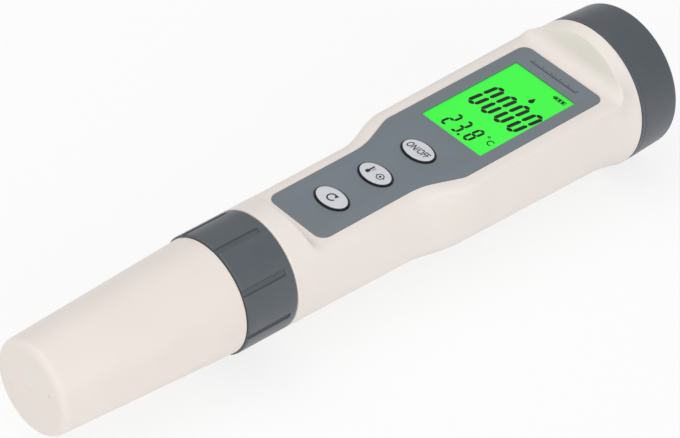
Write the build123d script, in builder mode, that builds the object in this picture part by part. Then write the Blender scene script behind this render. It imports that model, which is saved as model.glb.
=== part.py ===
from build123d import *
from math import cos, radians, sin, sqrt, tan
import os

# Pen-shaped water quality tester, lying on its back with the display up.
# X runs along the tester from the cap's tip to the battery end, Z is up, and the
# origin is on the surface it lies on, below the middle of its length.

os.makedirs("parts", exist_ok=True)

# Lengths of the four outside pieces, in a row from the tip
cap_length = 51.4
collar_length = 14.9
body_length = 108.6
battery_cap_length = 13.1

# Clearances
seam_gap = 0.15
turn_fit = 0.08
slide_fit = 0.1
glue_gap = 0.05
key_gap = 0.15
panel_gap = 0.1

# Protective cap
cap_tip_radius = 12.1
cap_mouth_radius = 14.65
cap_wall = 1.5
cap_tip_wall = 2.2
cap_tip_round = 1.8
cap_socket_radius = 13.1
cap_socket_depth = 7.5
vent_radius = 0.45
vent_depth = 0.3
vent_pitch = 7.6
vent_turn = -24

# Locking collar
collar_radius = 15.15
collar_edge = 0.35
collar_bore = 10.5
collar_lip = 3.0
spigot_length = 6.9
groove_count = 8
groove_width = 1.4
groove_depth = 0.55
groove_length = 12.9
groove_turn = 9.5

# Body shell: grip, flare and head
nose_length = 8.0
nose_radius = 13.2
barrel_bore = 11.1
barrel_guide = 2.7
grip_start_radius = 15.2
grip_end_radius = 15.6
grip_length = 38.0
flare_length = 15.5
head_start_radius = 17.45
head_end_radius = 18.05
rim_flare_length = 8.8
rim_step = 0.05
rim_edge = 1.6
rim_radius = 19.6
neck_length = 8.5
neck_radius = 17.2
neck_bore = 15.2
shell_wall = 1.8
front_wall = 2.0
shoulder_edge = 1.8

# Front flat, measured from its end nearest the tip
flat_start = 10.9
flat_length = 89.2
flat_height = 9.46
flat_tilt = 0.92
scoop_radius = 4.4
scoop_angle = 72

# Front panel
panel_start = 0.55
panel_length = 88.2
panel_narrow = 19.2
panel_wide = 27.5
panel_flare_start = 31.5
panel_flare_end = 42.0
panel_thickness = 0.6
panel_sink = 0.15
panel_corner = 2.6
flare_inner_bend = 18.0
flare_outer_bend = 7.0

# Keys and their switches
key_length = 9.5
key_width = 6.3
key_start = 12.2
key_pitch = 13.83
key_rise = 0.35
key_crown = 0.5
key_flange = 1.1
key_flange_thickness = 0.9
key_travel = 0.4
key_stem_radius = 2.0
switch_size = 6.0
switch_height = 3.4
plunger_radius = 1.7
plunger_height = 1.2

# Display
window_start = 50.3
window_length = 32.1
window_width = 20.7
window_ledge = 0.6
frame_wall = 0.6
glass_ledge = 0.95
glass_thickness = 2.2
backlight_margin = 2.2
zebra_width = 1.6

# Circuit board
board_depth = 8.9
board_thickness = 1.6
board_width = 22.0
board_start = 1.0
board_length = 93.0
chip_size = 9.0
chip_height = 1.5

# Electrode
flange_radius = 13.1
flange_thickness = 3.4
probe_radius = 9.0
guard_radius = 7.6
guard_length = 14.0
probe_reach = 37.4
guard_slots = 4
guard_slot_width = 5.0
guard_slot_depth = 11.0
rear_length = 13.0
rear_cup_radius = 9.4
rear_cup_depth = 7.0
clip_thickness = 0.8
clip_width = 0.9
bulb_radius = 4.2
bulb_reach = 10.6
glass_stem_radius = 3.0
glass_wall = 0.5
stem_length = 34.0
core_wire_radius = 0.4
pin_ring = 6.2
conductivity_pin_radius = 0.9
conductivity_pin_reach = 6.0
conductivity_pin_turn = 35
temperature_radius = 1.35
temperature_reach = 8.0
junction_radius = 1.2
junction_depth = 3.0
plug_thickness = 3.0
connector_pins = 5
connector_ring = 5.2
connector_pin_radius = 0.5
connector_pin_reach = 5.5
socket_gap = 2.0
socket_radius = 7.2
socket_grip = 3.0

# Seals
seal_radius = 0.55
seal_room = 0.1

# Battery end
battery_cap_rim_radius = 19.5
battery_cap_end_radius = 18.95
battery_cap_wall = 2.1
battery_cap_end_wall = 1.8
battery_cap_round = 1.2
cell_radius = 5.8
cell_thickness = 5.4
cell_step = 0.35
cell_count = 4
cell_drop = 7.6
cell_gap = 0.25
pocket_wall = 1.2
carrier_inset = 1.4
carrier_thickness = 2.5
spring_wire = 0.35
spring_radius = 3.6
spring_length = 3.2
spring_turns = 2.5
contact_thickness = 0.3
contact_plate_radius = 12.0
cap_boss_radius = 4.2
rivet_radius = 1.5
rivet_head = 2.8
finger_height = 4.2
finger_radius = 1.2
screw_radius = 1.0
screw_head_radius = 1.9
screw_length = 6.0
boss_radius = 2.4
boss_turn = -18.4

# Places along the tester
overall = cap_length + collar_length + body_length + battery_cap_length
tip_x = -overall / 2
collar_x = tip_x + cap_length
body_x = collar_x + collar_length
rim_x = body_x + body_length
end_x = rim_x + battery_cap_length
axis_height = max(rim_radius, battery_cap_rim_radius)
long_axis = Axis((0, 0, axis_height), (1, 0, 0))
side = Plane(origin=(0, 0, axis_height), x_dir=(1, 0, 0), z_dir=(0, -1, 0))


def across(x):
    """The plane across the tester at x: its own x is the tester's Y, and its y is Z."""
    return Plane(origin=(x, 0, axis_height), x_dir=(0, 1, 0), z_dir=(1, 0, 0))


# The front flat leans a little, so the pieces behind it are placed on its own plane.
tilt = radians(flat_tilt)
flat_x = body_x + flat_start
front = Plane(
    origin=(flat_x, 0, axis_height + flat_height),
    x_dir=(cos(tilt), 0, sin(tilt)),
    z_dir=(-sin(tilt), 0, cos(tilt)),
)
front_side = Plane(origin=front.origin, x_dir=front.x_dir, z_dir=(0, -1, 0))


# Protective cap
mouth_x = collar_x - seam_gap
socket_x = mouth_x - cap_socket_depth
cap_slope = (cap_mouth_radius - cap_tip_radius) / cap_length
cap_inner_tip = cap_tip_radius + cap_slope * cap_tip_wall - cap_wall
cap_inner_end = cap_tip_radius + cap_slope * (socket_x - tip_x) - cap_wall

with BuildPart() as protective_cap:
    with BuildSketch(side) as cap_profile:
        with BuildLine():
            Polyline(
                (tip_x, 0),
                (tip_x, cap_tip_radius),
                (mouth_x, cap_mouth_radius),
                (mouth_x, cap_socket_radius),
                (socket_x, cap_socket_radius),
                (socket_x, cap_inner_end),
                (tip_x + cap_tip_wall, cap_inner_tip),
                (tip_x + cap_tip_wall, 0),
                close=True,
            )
        make_face()
        outer_corner = cap_profile.vertices().sort_by_distance((tip_x, cap_tip_radius, 0))[0]
        inner_corner = cap_profile.vertices().sort_by_distance((tip_x + cap_tip_wall, cap_inner_tip, 0))[0]
        fillet([outer_corner, inner_corner], cap_tip_round)
    revolve(axis=long_axis)
    with BuildSketch(across(tip_x)):
        with PolarLocations(vent_pitch, 2, start_angle=vent_turn):
            Circle(vent_radius)
        Circle(vent_radius)
    extrude(amount=vent_depth, mode=Mode.SUBTRACT)

protective_cap.part.label = "protective_cap"
export_step(protective_cap.part, "parts/protective_cap.step")


# Locking collar, with a plain bore where its thread runs on the nose
spigot_x = collar_x - spigot_length
spigot_radius = cap_socket_radius - turn_fit
lip_x = collar_x + collar_lip
collar_end_x = body_x - seam_gap
thread_bore = nose_radius + turn_fit
cap_seal_x = collar_x - spigot_length / 2
cap_seal_floor = spigot_radius - 2 * seal_radius

with BuildPart() as collar:
    with BuildSketch(side):
        with BuildLine():
            Polyline(
                (spigot_x, collar_bore),
                (spigot_x, spigot_radius - collar_edge),
                (spigot_x + collar_edge, spigot_radius),
                (collar_x, spigot_radius),
                (collar_x, collar_radius - collar_edge),
                (collar_x + collar_edge, collar_radius),
                (collar_end_x - collar_edge, collar_radius),
                (collar_end_x, collar_radius - collar_edge),
                (collar_end_x, thread_bore),
                (lip_x, thread_bore),
                (lip_x, collar_bore),
                close=True,
            )
        make_face()
    revolve(axis=long_axis)
    with BuildSketch(across(collar_x)):
        with PolarLocations(collar_radius, groove_count, start_angle=groove_turn):
            Rectangle(2 * groove_depth, groove_width)
    extrude(amount=groove_length, mode=Mode.SUBTRACT)
    with BuildSketch(side):
        with Locations((cap_seal_x, spigot_radius)):
            Rectangle(2 * (seal_radius + seal_room), 2 * (spigot_radius - cap_seal_floor))
    revolve(axis=long_axis, mode=Mode.SUBTRACT)

collar.part.label = "locking_collar"
export_step(collar.part, "parts/locking_collar.step")


def seal_ring(x, floor_radius):
    """The round section of a sealing ring that stands clear of its groove's floor."""
    with Locations((x, floor_radius + glue_gap + seal_radius)):
        Circle(seal_radius - glue_gap / 2)


with BuildPart() as cap_seal:
    with BuildSketch(side):
        seal_ring(cap_seal_x, cap_seal_floor)
    revolve(axis=long_axis)

cap_seal.part.label = "cap_seal"
export_step(cap_seal.part, "parts/cap_seal.step")


# Body shell, lofted from sections that turn from round to straight-sided and back
flare_x = body_x + grip_length
head_x = flare_x + flare_length
rim_flare_x = rim_x - rim_flare_length
side_height = 12.0
head_crown = 16.0
head_draft = 0.12
flare_steps = 4
rim_half_shoulder = 0.55


def ease(t):
    """Smooth step from 0 to 1."""
    return t * t * (3 - 2 * t)


def flat_top(x):
    """The height of the front flat above the axis at x."""
    return flat_height + tan(tilt) * (x - flat_x)


def body_section(x, radius, shoulder, side_top):
    """A round of this radius whose sides stand up, to side_top, by the share given as shoulder."""
    round_reach = sqrt(radius**2 - side_top**2)
    reach = round_reach + shoulder * (radius - head_draft - round_reach)
    crown = radius + shoulder * (head_crown - radius)
    with BuildSketch(across(x)) as section:
        with BuildLine():
            ThreePointArc((-radius, 0), (0, -radius), (radius, 0))
            TangentArc((radius, 0), (reach, side_top), tangent=(0, 1))
            ThreePointArc((reach, side_top), (0, crown), (-reach, side_top))
            TangentArc((-radius, 0), (-reach, side_top), tangent=(0, 1))
        make_face()
    return section.sketch


flare_step = flare_length / flare_steps
grip_slope = (grip_end_radius - grip_start_radius) / grip_length
head_slope = (head_end_radius - head_start_radius) / (rim_flare_x - head_x)


def outside_radius(x):
    """The shell's radius at x, between the collar and the rim's flare."""
    grip = grip_start_radius + grip_slope * (x - body_x)
    head = head_start_radius + head_slope * (x - head_x)
    share = ease(min(max((x - flare_x) / flare_length, 0), 1))
    return grip + share * (head - grip)


def shoulder_share(x):
    """How far the sides stand up at x: 0 by the keys and 1 by the display."""
    return ease(min(max((x - flare_x) / flare_length, 0), 1))


# The space above the front flat, with a scoop up to the round at each end
with BuildPart() as scoop:
    with BuildSketch(front_side):
        with BuildLine():
            floor = Line((0, 0), (flat_length, 0))
            far_arc = JernArc(floor @ 1, (1, 0), scoop_radius, scoop_angle)
            far_wall = PolarLine(far_arc @ 1, 2 * rim_radius, scoop_angle)
            near_arc = JernArc(floor @ 0, (-1, 0), scoop_radius, -scoop_angle)
            near_wall = PolarLine(near_arc @ 1, 2 * rim_radius, 180 - scoop_angle)
            Line(near_wall @ 1, far_wall @ 1)
        make_face()
    extrude(amount=2 * rim_radius, both=True)


def flat_section(x):
    """The shell's section at x where its front is flat, with rounded shoulders."""
    radius = outside_radius(x)
    shoulder = shoulder_share(x)
    top = flat_top(x)
    round_reach = sqrt(radius**2 - top**2)
    reach = round_reach + shoulder * (radius - head_draft - round_reach)
    with BuildSketch(across(x)) as section:
        with BuildLine():
            ThreePointArc((-radius, 0), (0, -radius), (radius, 0))
            TangentArc((radius, 0), (reach, top), tangent=(0, 1))
            Line((reach, top), (-reach, top))
            TangentArc((-radius, 0), (-reach, top), tangent=(0, 1))
        make_face()
        fillet(section.vertices().group_by(Axis.Y)[-1], shoulder_edge)
    return section.sketch


def shell_stretch(stations, straight):
    """A stretch of the shell through the flat-fronted sections at these stations."""
    with BuildPart() as stretch:
        for x in stations:
            add(flat_section(x))
        loft(ruled=straight)
    return stretch.part


grip_x = flat_x + 1

with BuildPart() as grip_start:
    for x in (body_x, grip_x):
        add(body_section(x, outside_radius(x), 0, side_height))
    loft(ruled=True)
    add(scoop.part, mode=Mode.SUBTRACT)

grip = shell_stretch((grip_x, flare_x - flare_step), True)
flare = shell_stretch([flare_x + step * flare_step for step in range(-1, flare_steps + 2)], False)
head = shell_stretch((head_x + flare_step, rim_flare_x), True)

rim_middle_x = (rim_flare_x + rim_x) / 2
rim_middle_radius = (head_end_radius + rim_radius) / 2

with BuildPart() as rim:
    # A fine step keeps the rim's surface from grazing the head's
    add(body_section(rim_flare_x, head_end_radius + rim_step, 1, flat_top(rim_flare_x)))
    add(body_section(rim_middle_x, rim_middle_radius, rim_half_shoulder, side_height))
    add(body_section(rim_x, rim_radius, 0, side_height))
    loft()
    add(scoop.part, mode=Mode.SUBTRACT)
    scoop_floor = rim.faces().filter_by(GeomType.CYLINDER)[0]
    fillet([edge for edge in scoop_floor.edges() if abs(edge.center().Y) > flat_height / 2], rim_edge)


# The space inside, round along the tester and cut off flat behind the front wall
guide_x = body_x + barrel_guide
inner_grip = grip_start_radius - shell_wall
inner_head = head_start_radius - shell_wall
bore_step_x = guide_x + inner_grip - barrel_bore
neck_in_x = rim_x - shell_wall
neck_out_x = rim_x + neck_length
bore_stations = [
    (guide_x, barrel_bore),
    (bore_step_x, inner_grip),
    (flare_x, inner_grip),
    (head_x, inner_head),
    (neck_in_x, inner_head),
]
bores = []

for start, end in zip(bore_stations, bore_stations[1:]):
    with BuildPart() as bore:
        with BuildSketch(side):
            with BuildLine():
                Polyline((start[0], 0), start, end, (end[0], 0), close=True)
            make_face()
        revolve(axis=long_axis)
        split(bisect_by=front.offset(-front_wall), keep=Keep.BOTTOM)
    bores.append(bore.part)

# The battery carrier screws to two bosses inside the neck
carrier_out_x = neck_out_x - carrier_inset
carrier_in_x = carrier_out_x - carrier_thickness
boss_ring = neck_bore - boss_radius + 2 * slide_fit
boss_y = boss_ring * cos(radians(boss_turn))
boss_z = boss_ring * sin(radians(boss_turn))
boss_places = [(-boss_y, boss_z), (boss_y, boss_z)]


def panel_shape(grow):
    """The panel's outline, narrow by the keys and wide round the display, grown all round."""
    half_narrow = panel_narrow / 2 + grow
    half_wide = panel_wide / 2 + grow
    near = panel_start - grow
    far = panel_start + panel_length + grow
    with BuildSketch() as outline:
        with BuildLine():
            Polyline(
                (near, -half_narrow),
                (panel_flare_start, -half_narrow),
                (panel_flare_end, -half_wide),
                (far, -half_wide),
                (far, half_wide),
                (panel_flare_end, half_wide),
                (panel_flare_start, half_narrow),
                (near, half_narrow),
                close=True,
            )
        make_face()
        corners = outline.vertices().group_by(Axis.X)
        fillet(corners[0] + corners[3], panel_corner + grow)
        corners = outline.vertices().group_by(Axis.X)
        bends = [v for v in outline.vertices() if abs(v.X - panel_flare_start) < 0.01]
        fillet(bends, flare_inner_bend)
        bends = [v for v in outline.vertices() if abs(v.X - panel_flare_end) < 0.01]
        fillet(bends, flare_outer_bend)
    return outline.sketch


key_places = [(key_start + count * key_pitch, 0) for count in range(3)]
recess_depth = panel_thickness + panel_sink
window_middle = window_start + window_length / 2
pane_length = window_length + 2 * window_ledge
pane_width = window_width + 2 * window_ledge
body_seal_x = body_x - nose_length / 2
battery_seal_x = rim_x + 1.3
neck_seal_floor = neck_radius - 2 * seal_radius

with BuildPart() as body_shell:
    for piece in (grip_start.part, grip, flare, head, rim.part):
        add(piece)
    # Recess for the panel, the display opening and the key holes
    with BuildSketch(front.offset(-recess_depth)):
        add(panel_shape(panel_gap))
    extrude(amount=2 * recess_depth, mode=Mode.SUBTRACT)
    with BuildSketch(front.offset(-front_wall - glue_gap)):
        with Locations((window_middle, 0)):
            Rectangle(pane_length + 2 * panel_gap, pane_width + 2 * panel_gap)
        with Locations(*key_places):
            Ellipse(key_width / 2 + key_gap, key_length / 2 + key_gap)
    extrude(amount=2 * front_wall, mode=Mode.SUBTRACT)
    # Nose under the collar and neck inside the battery cap
    with BuildSketch(across(body_x)):
        Circle(nose_radius)
    extrude(amount=-nose_length)
    with BuildSketch(across(rim_x)):
        Circle(neck_radius)
    extrude(amount=neck_length)
    # Inside: the barrel's bore, the hollow one stretch at a time, and the neck
    with BuildSketch(across(body_x - nose_length)):
        Circle(barrel_bore)
    extrude(amount=bore_step_x - body_x + nose_length, mode=Mode.SUBTRACT)
    for stretch in bores:
        add(stretch, mode=Mode.SUBTRACT)
    with BuildSketch(across(neck_in_x)):
        Circle(neck_bore)
        with Locations((0, rim_radius)):
            Rectangle(2 * rim_radius, 2 * (rim_radius - flat_height), mode=Mode.SUBTRACT)
    extrude(amount=shell_wall, mode=Mode.SUBTRACT)
    with BuildSketch(across(rim_x)):
        Circle(neck_bore)
    extrude(amount=neck_length, mode=Mode.SUBTRACT)
    with BuildSketch(across(carrier_in_x)):
        with Locations(*boss_places):
            Circle(boss_radius)
    extrude(amount=neck_in_x - carrier_in_x)
    with BuildSketch(across(carrier_in_x)):
        with Locations(*boss_places):
            Circle(screw_radius + glue_gap)
    extrude(amount=-screw_length, mode=Mode.SUBTRACT)
    with BuildSketch(side):
        with Locations((battery_seal_x, neck_radius)):
            Rectangle(2 * (seal_radius + seal_room), 2 * (neck_radius - neck_seal_floor))
    revolve(axis=long_axis, mode=Mode.SUBTRACT)

body_shell.part.label = "body_shell"
export_step(body_shell.part, "parts/body_shell.step")

with BuildPart() as battery_seal:
    with BuildSketch(side):
        seal_ring(battery_seal_x, neck_seal_floor)
    revolve(axis=long_axis)

battery_seal.part.label = "battery_cap_seal"
export_step(battery_seal.part, "parts/battery_cap_seal.step")


# Front panel, which lies in its recess a little below the flat
with BuildPart() as front_panel:
    with BuildSketch(front.offset(-recess_depth)):
        add(panel_shape(0))
        with Locations((window_middle, 0)):
            Rectangle(window_length, window_width, mode=Mode.SUBTRACT)
        with Locations(*key_places):
            Ellipse(key_width / 2 + key_gap, key_length / 2 + key_gap, mode=Mode.SUBTRACT)
    extrude(amount=panel_thickness)

front_panel.part.label = "front_panel"
export_step(front_panel.part, "parts/front_panel.step")

# Clear window behind the panel
with BuildPart() as window:
    with BuildSketch(front.offset(-recess_depth - glue_gap)):
        with Locations((window_middle, 0)):
            Rectangle(pane_length, pane_width)
    extrude(amount=-(front_wall - recess_depth - glue_gap))

window.part.label = "display_window"
export_step(window.part, "parts/display_window.step")


# Display: frame, glass, backlight and the rubber strip that joins glass to board
frame_depth = front_wall + glue_gap
glass_length = window_length + 2 * glass_ledge
glass_width = window_width + 2 * glass_ledge
frame_length = glass_length + 2 * (frame_wall + panel_gap)
frame_width = glass_width + 2 * (frame_wall + panel_gap)
glass_depth = frame_depth + frame_wall / 2
glass_back = glass_depth + glass_thickness
backlight_length = glass_length
backlight_width = glass_width - 2 * backlight_margin

with BuildPart() as display_frame:
    with BuildSketch(front.offset(-frame_depth)):
        with Locations((window_middle, 0)):
            Rectangle(frame_length, frame_width)
            Rectangle(window_length, window_width, mode=Mode.SUBTRACT)
    extrude(amount=-frame_wall / 2)
    with BuildSketch(front.offset(-glass_depth)):
        with Locations((window_middle, 0)):
            Rectangle(frame_length, frame_width)
            Rectangle(glass_length + 2 * panel_gap, glass_width + 2 * panel_gap, mode=Mode.SUBTRACT)
    extrude(amount=-(board_depth - glass_depth))

display_frame.part.label = "display_frame"
export_step(display_frame.part, "parts/display_frame.step")

with BuildPart() as display_glass:
    with BuildSketch(front.offset(-glass_depth)):
        with Locations((window_middle, 0)):
            Rectangle(glass_length, glass_width)
    extrude(amount=-glass_thickness)

display_glass.part.label = "display_glass"
export_step(display_glass.part, "parts/display_glass.step")

with BuildPart() as backlight:
    with BuildSketch(front.offset(-glass_back)):
        with Locations((window_middle, 0)):
            Rectangle(backlight_length, backlight_width)
    extrude(amount=-(board_depth - glass_back))

backlight.part.label = "backlight"
export_step(backlight.part, "parts/backlight.step")

with BuildPart() as zebra_strip:
    with BuildSketch(front.offset(-glass_back)):
        with Locations((window_middle, -(glass_width - zebra_width) / 2)):
            Rectangle(glass_length - 2 * zebra_width, zebra_width)
    extrude(amount=-(board_depth - glass_back))

zebra_strip.part.label = "zebra_strip"
export_step(zebra_strip.part, "parts/zebra_strip.step")


# Circuit board, its chip and the socket for the electrode
with BuildPart() as circuit_board:
    with BuildSketch(front.offset(-board_depth)):
        with Locations((board_start + board_length / 2, 0)):
            RectangleRounded(board_length, board_width, panel_corner / 2)
    extrude(amount=-board_thickness)

circuit_board.part.label = "circuit_board"
export_step(circuit_board.part, "parts/circuit_board.step")

with BuildPart() as main_chip:
    with BuildSketch(front.offset(-board_depth - board_thickness)):
        with Locations((board_start + board_length / 3, 0)):
            Rectangle(chip_size, chip_size)
    extrude(amount=-chip_height)
    chamfer(main_chip.faces().sort_by(Axis.Z)[0].edges(), chip_height / 5)

main_chip.part.label = "main_chip"
export_step(main_chip.part, "parts/main_chip.step")


# Keys: an oval cap with a domed top, a flange behind the shell's wall and a stem
flange_depth = front_wall + glue_gap
flange_back = flange_depth + key_flange_thickness
plunger_top = board_depth - switch_height - plunger_height
switch_depth = board_depth - switch_height
key_names = ("mode", "calibration", "power")

for name, place in zip(key_names, key_places):
    with BuildPart() as key:
        with BuildSketch(front.offset(key_rise)):
            with Locations(place):
                Ellipse(key_width / 2, key_length / 2)
        extrude(amount=-(key_rise + flange_depth))
        with BuildSketch(front.offset(-flange_depth)):
            with Locations(place):
                Ellipse(key_width / 2 + key_flange, key_length / 2 + key_flange)
        extrude(amount=-key_flange_thickness)
        with BuildSketch(front.offset(-flange_back)):
            with Locations(place):
                Circle(key_stem_radius)
        extrude(amount=-(plunger_top - glue_gap - flange_back))
        chamfer(key.faces().sort_by(Axis.Z)[-1].edges(), key_rise * 0.8, key_crown)
    key.part.label = "key_" + name
    export_step(key.part, "parts/key_" + name + ".step")

    with BuildPart() as plunger:
        with BuildSketch(front.offset(-plunger_top)):
            with Locations(place):
                Circle(plunger_radius)
        extrude(amount=-plunger_height - key_travel)
    plunger.part.label = "plunger_" + name
    export_step(plunger.part, "parts/plunger_" + name + ".step")

    with BuildPart() as switch:
        with BuildSketch(front.offset(-switch_depth)):
            with Locations(place):
                RectangleRounded(switch_size, switch_size, switch_size / 12)
        extrude(amount=-switch_height)
        with BuildSketch(front.offset(-switch_depth)):
            with Locations(place):
                Circle(plunger_radius + slide_fit)
        extrude(amount=-(3 * key_travel), mode=Mode.SUBTRACT)
    switch.part.label = "switch_" + name
    export_step(switch.part, "parts/switch_" + name + ".step")


# Electrode body: guard, probe barrel, journal for the collar, flange and rear barrel
probe_x = collar_x - probe_reach
guard_x = probe_x + guard_length
journal_x = spigot_x - seam_gap - clip_thickness - 2 * clip_width
clip_x = spigot_x - glue_gap - clip_thickness
flange_x = lip_x + seam_gap
flange_end_x = flange_x + flange_thickness
rear_x = flange_end_x + rear_length
journal_radius = collar_bore - turn_fit
rear_radius = barrel_bore - slide_fit
cup_x = rear_x - rear_cup_depth
clip_floor = journal_radius - clip_width
body_seal_floor = rear_radius - 2 * seal_radius


def ring_place(turn, radius=pin_ring):
    """A place on the ring of pins round the glass."""
    return (radius * cos(radians(turn)), radius * sin(radians(turn)))


conductivity_places = [ring_place(-90 - conductivity_pin_turn), ring_place(-90 + conductivity_pin_turn)]
temperature_place = ring_place(90)
junction_place = ring_place(180)

with BuildPart() as electrode_body:
    with BuildSketch(side):
        with BuildLine():
            Polyline(
                (probe_x, guard_radius),
                (probe_x, probe_radius),
                (journal_x, probe_radius),
                (journal_x, journal_radius),
                (flange_x, journal_radius),
                (flange_x, flange_radius),
                (flange_end_x, flange_radius),
                (flange_end_x, rear_radius),
                (rear_x, rear_radius),
                (rear_x, rear_cup_radius),
                (cup_x, rear_cup_radius),
                (cup_x, glass_stem_radius + glue_gap),
                (guard_x, glass_stem_radius + glue_gap),
                (guard_x, guard_radius),
                close=True,
            )
        make_face()
    revolve(axis=long_axis)
    # Slots that let the water into the guard
    with BuildSketch(across(probe_x)):
        with PolarLocations(probe_radius, guard_slots, start_angle=45):
            Rectangle(2 * (probe_radius - guard_radius) + 2, guard_slot_width)
    extrude(amount=guard_slot_depth, mode=Mode.SUBTRACT)
    # Holes for the sensors, and the grooves of the clip and the seal
    with BuildSketch(across(guard_x)):
        with Locations(*conductivity_places):
            Circle(conductivity_pin_radius + glue_gap)
        with Locations(temperature_place):
            Circle(temperature_radius + glue_gap)
    extrude(amount=rear_x - guard_x, mode=Mode.SUBTRACT)
    with BuildSketch(across(guard_x)):
        with Locations(junction_place):
            Circle(junction_radius + glue_gap)
    extrude(amount=junction_depth, mode=Mode.SUBTRACT)
    with BuildSketch(side):
        with Locations((clip_x + clip_thickness / 2, journal_radius)):
            Rectangle(clip_thickness + glue_gap, 2 * clip_width)
        with Locations((body_seal_x, rear_radius)):
            Rectangle(2 * (seal_radius + seal_room), 2 * (rear_radius - body_seal_floor))
    revolve(axis=long_axis, mode=Mode.SUBTRACT)

electrode_body.part.label = "electrode_body"
export_step(electrode_body.part, "parts/electrode_body.step")

# Open ring that keeps the collar on the electrode
with BuildPart() as collar_clip:
    with BuildSketch(across(clip_x)):
        Circle(journal_radius + clip_width)
        Circle(clip_floor + glue_gap, mode=Mode.SUBTRACT)
        with Locations((0, -journal_radius)):
            Rectangle(4 * clip_width, 4 * clip_width, mode=Mode.SUBTRACT)
    extrude(amount=clip_thickness)

collar_clip.part.label = "collar_clip"
export_step(collar_clip.part, "parts/collar_clip.step")

with BuildPart() as body_seal:
    with BuildSketch(side):
        seal_ring(body_seal_x, body_seal_floor)
    revolve(axis=long_axis)

body_seal.part.label = "body_seal"
export_step(body_seal.part, "parts/body_seal.step")

# Glass electrode: a closed bulb on a hollow stem
bulb_x = guard_x - bulb_reach + bulb_radius
stem_end_x = guard_x + stem_length
inner_stem = glass_stem_radius - glass_wall
inner_bulb = bulb_radius - glass_wall

with BuildPart() as glass_bulb:
    with BuildSketch(side):
        with Locations((bulb_x, 0)):
            Circle(bulb_radius)
        with Locations(((bulb_x + stem_end_x) / 2, 0)):
            Rectangle(stem_end_x - bulb_x, 2 * glass_stem_radius)
        with Locations((bulb_x, 0)):
            Circle(inner_bulb, mode=Mode.SUBTRACT)
        with Locations(((bulb_x + stem_end_x) / 2, 0)):
            Rectangle(stem_end_x - bulb_x, 2 * inner_stem, mode=Mode.SUBTRACT)
        with Locations((tip_x, -bulb_radius)):
            Rectangle(overall, 2 * bulb_radius, mode=Mode.SUBTRACT)
            Rectangle(2 * overall, 2 * bulb_radius, mode=Mode.SUBTRACT)
    revolve(axis=long_axis)

glass_bulb.part.label = "glass_bulb"
export_step(glass_bulb.part, "parts/glass_bulb.step")

with BuildPart() as glass_plug:
    with BuildSketch(across(stem_end_x)):
        Circle(inner_stem - glue_gap)
        Circle(core_wire_radius + glue_gap, mode=Mode.SUBTRACT)
    extrude(amount=-plug_thickness)

glass_plug.part.label = "glass_plug"
export_step(glass_plug.part, "parts/glass_plug.step")

with BuildPart() as core_wire:
    with BuildSketch(across(bulb_x)):
        Circle(core_wire_radius)
    extrude(amount=rear_x - plug_thickness - glue_gap - bulb_x)

core_wire.part.label = "core_wire"
export_step(core_wire.part, "parts/core_wire.step")

with BuildPart() as conductivity_pins:
    with BuildSketch(across(guard_x - conductivity_pin_reach)):
        with Locations(*conductivity_places):
            Circle(conductivity_pin_radius)
    extrude(amount=cup_x + plug_thickness - guard_x + conductivity_pin_reach)

conductivity_pins.part.label = "conductivity_pins"
export_step(conductivity_pins.part, "parts/conductivity_pins.step")

with BuildPart() as temperature_probe:
    with BuildSketch(across(guard_x - temperature_reach)):
        with Locations(temperature_place):
            Circle(temperature_radius)
    extrude(amount=cup_x + plug_thickness - guard_x + temperature_reach)
    tip_edge = temperature_probe.faces().sort_by(Axis.X)[0].edges()
    fillet(tip_edge, temperature_radius * 0.8)

temperature_probe.part.label = "temperature_probe"
export_step(temperature_probe.part, "parts/temperature_probe.step")

with BuildPart() as junction:
    with BuildSketch(across(guard_x - seam_gap)):
        with Locations(junction_place):
            Circle(junction_radius)
    extrude(amount=junction_depth)

junction.part.label = "reference_junction"
export_step(junction.part, "parts/reference_junction.step")

# Plug with its pins at the electrode's back, and the socket on the board
with BuildPart() as electrode_plug:
    with BuildSketch(across(rear_x)):
        Circle(rear_cup_radius - glue_gap)
        with PolarLocations(connector_ring, connector_pins):
            Circle(connector_pin_radius + glue_gap, mode=Mode.SUBTRACT)
    extrude(amount=-plug_thickness)

electrode_plug.part.label = "electrode_plug"
export_step(electrode_plug.part, "parts/electrode_plug.step")

with BuildPart() as connector:
    with BuildSketch(across(rear_x - plug_thickness - 1)):
        with PolarLocations(connector_ring, connector_pins):
            Circle(connector_pin_radius)
    extrude(amount=plug_thickness + 1 + connector_pin_reach)

connector.part.label = "connector_pins"
export_step(connector.part, "parts/connector_pins.step")

# The socket straddles the end of the board
socket_x = rear_x + socket_gap
board_x = flat_x + board_start
with BuildPart() as electrode_socket:
    with BuildSketch(across(socket_x)):
        Circle(socket_radius)
    extrude(amount=board_x + socket_grip - socket_x)
    with BuildSketch(across(socket_x)):
        with PolarLocations(connector_ring, connector_pins):
            Circle(connector_pin_radius + slide_fit)
    extrude(amount=connector_pin_reach - socket_gap + seam_gap, mode=Mode.SUBTRACT)
    with BuildSketch(front_side):
        with Locations((board_start + socket_grip, -board_depth - board_thickness / 2)):
            Rectangle(2 * (socket_grip + seam_gap), board_thickness + 2 * glue_gap)
    extrude(amount=socket_radius, both=True, mode=Mode.SUBTRACT)

electrode_socket.part.label = "electrode_socket"
export_step(electrode_socket.part, "parts/electrode_socket.step")


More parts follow.
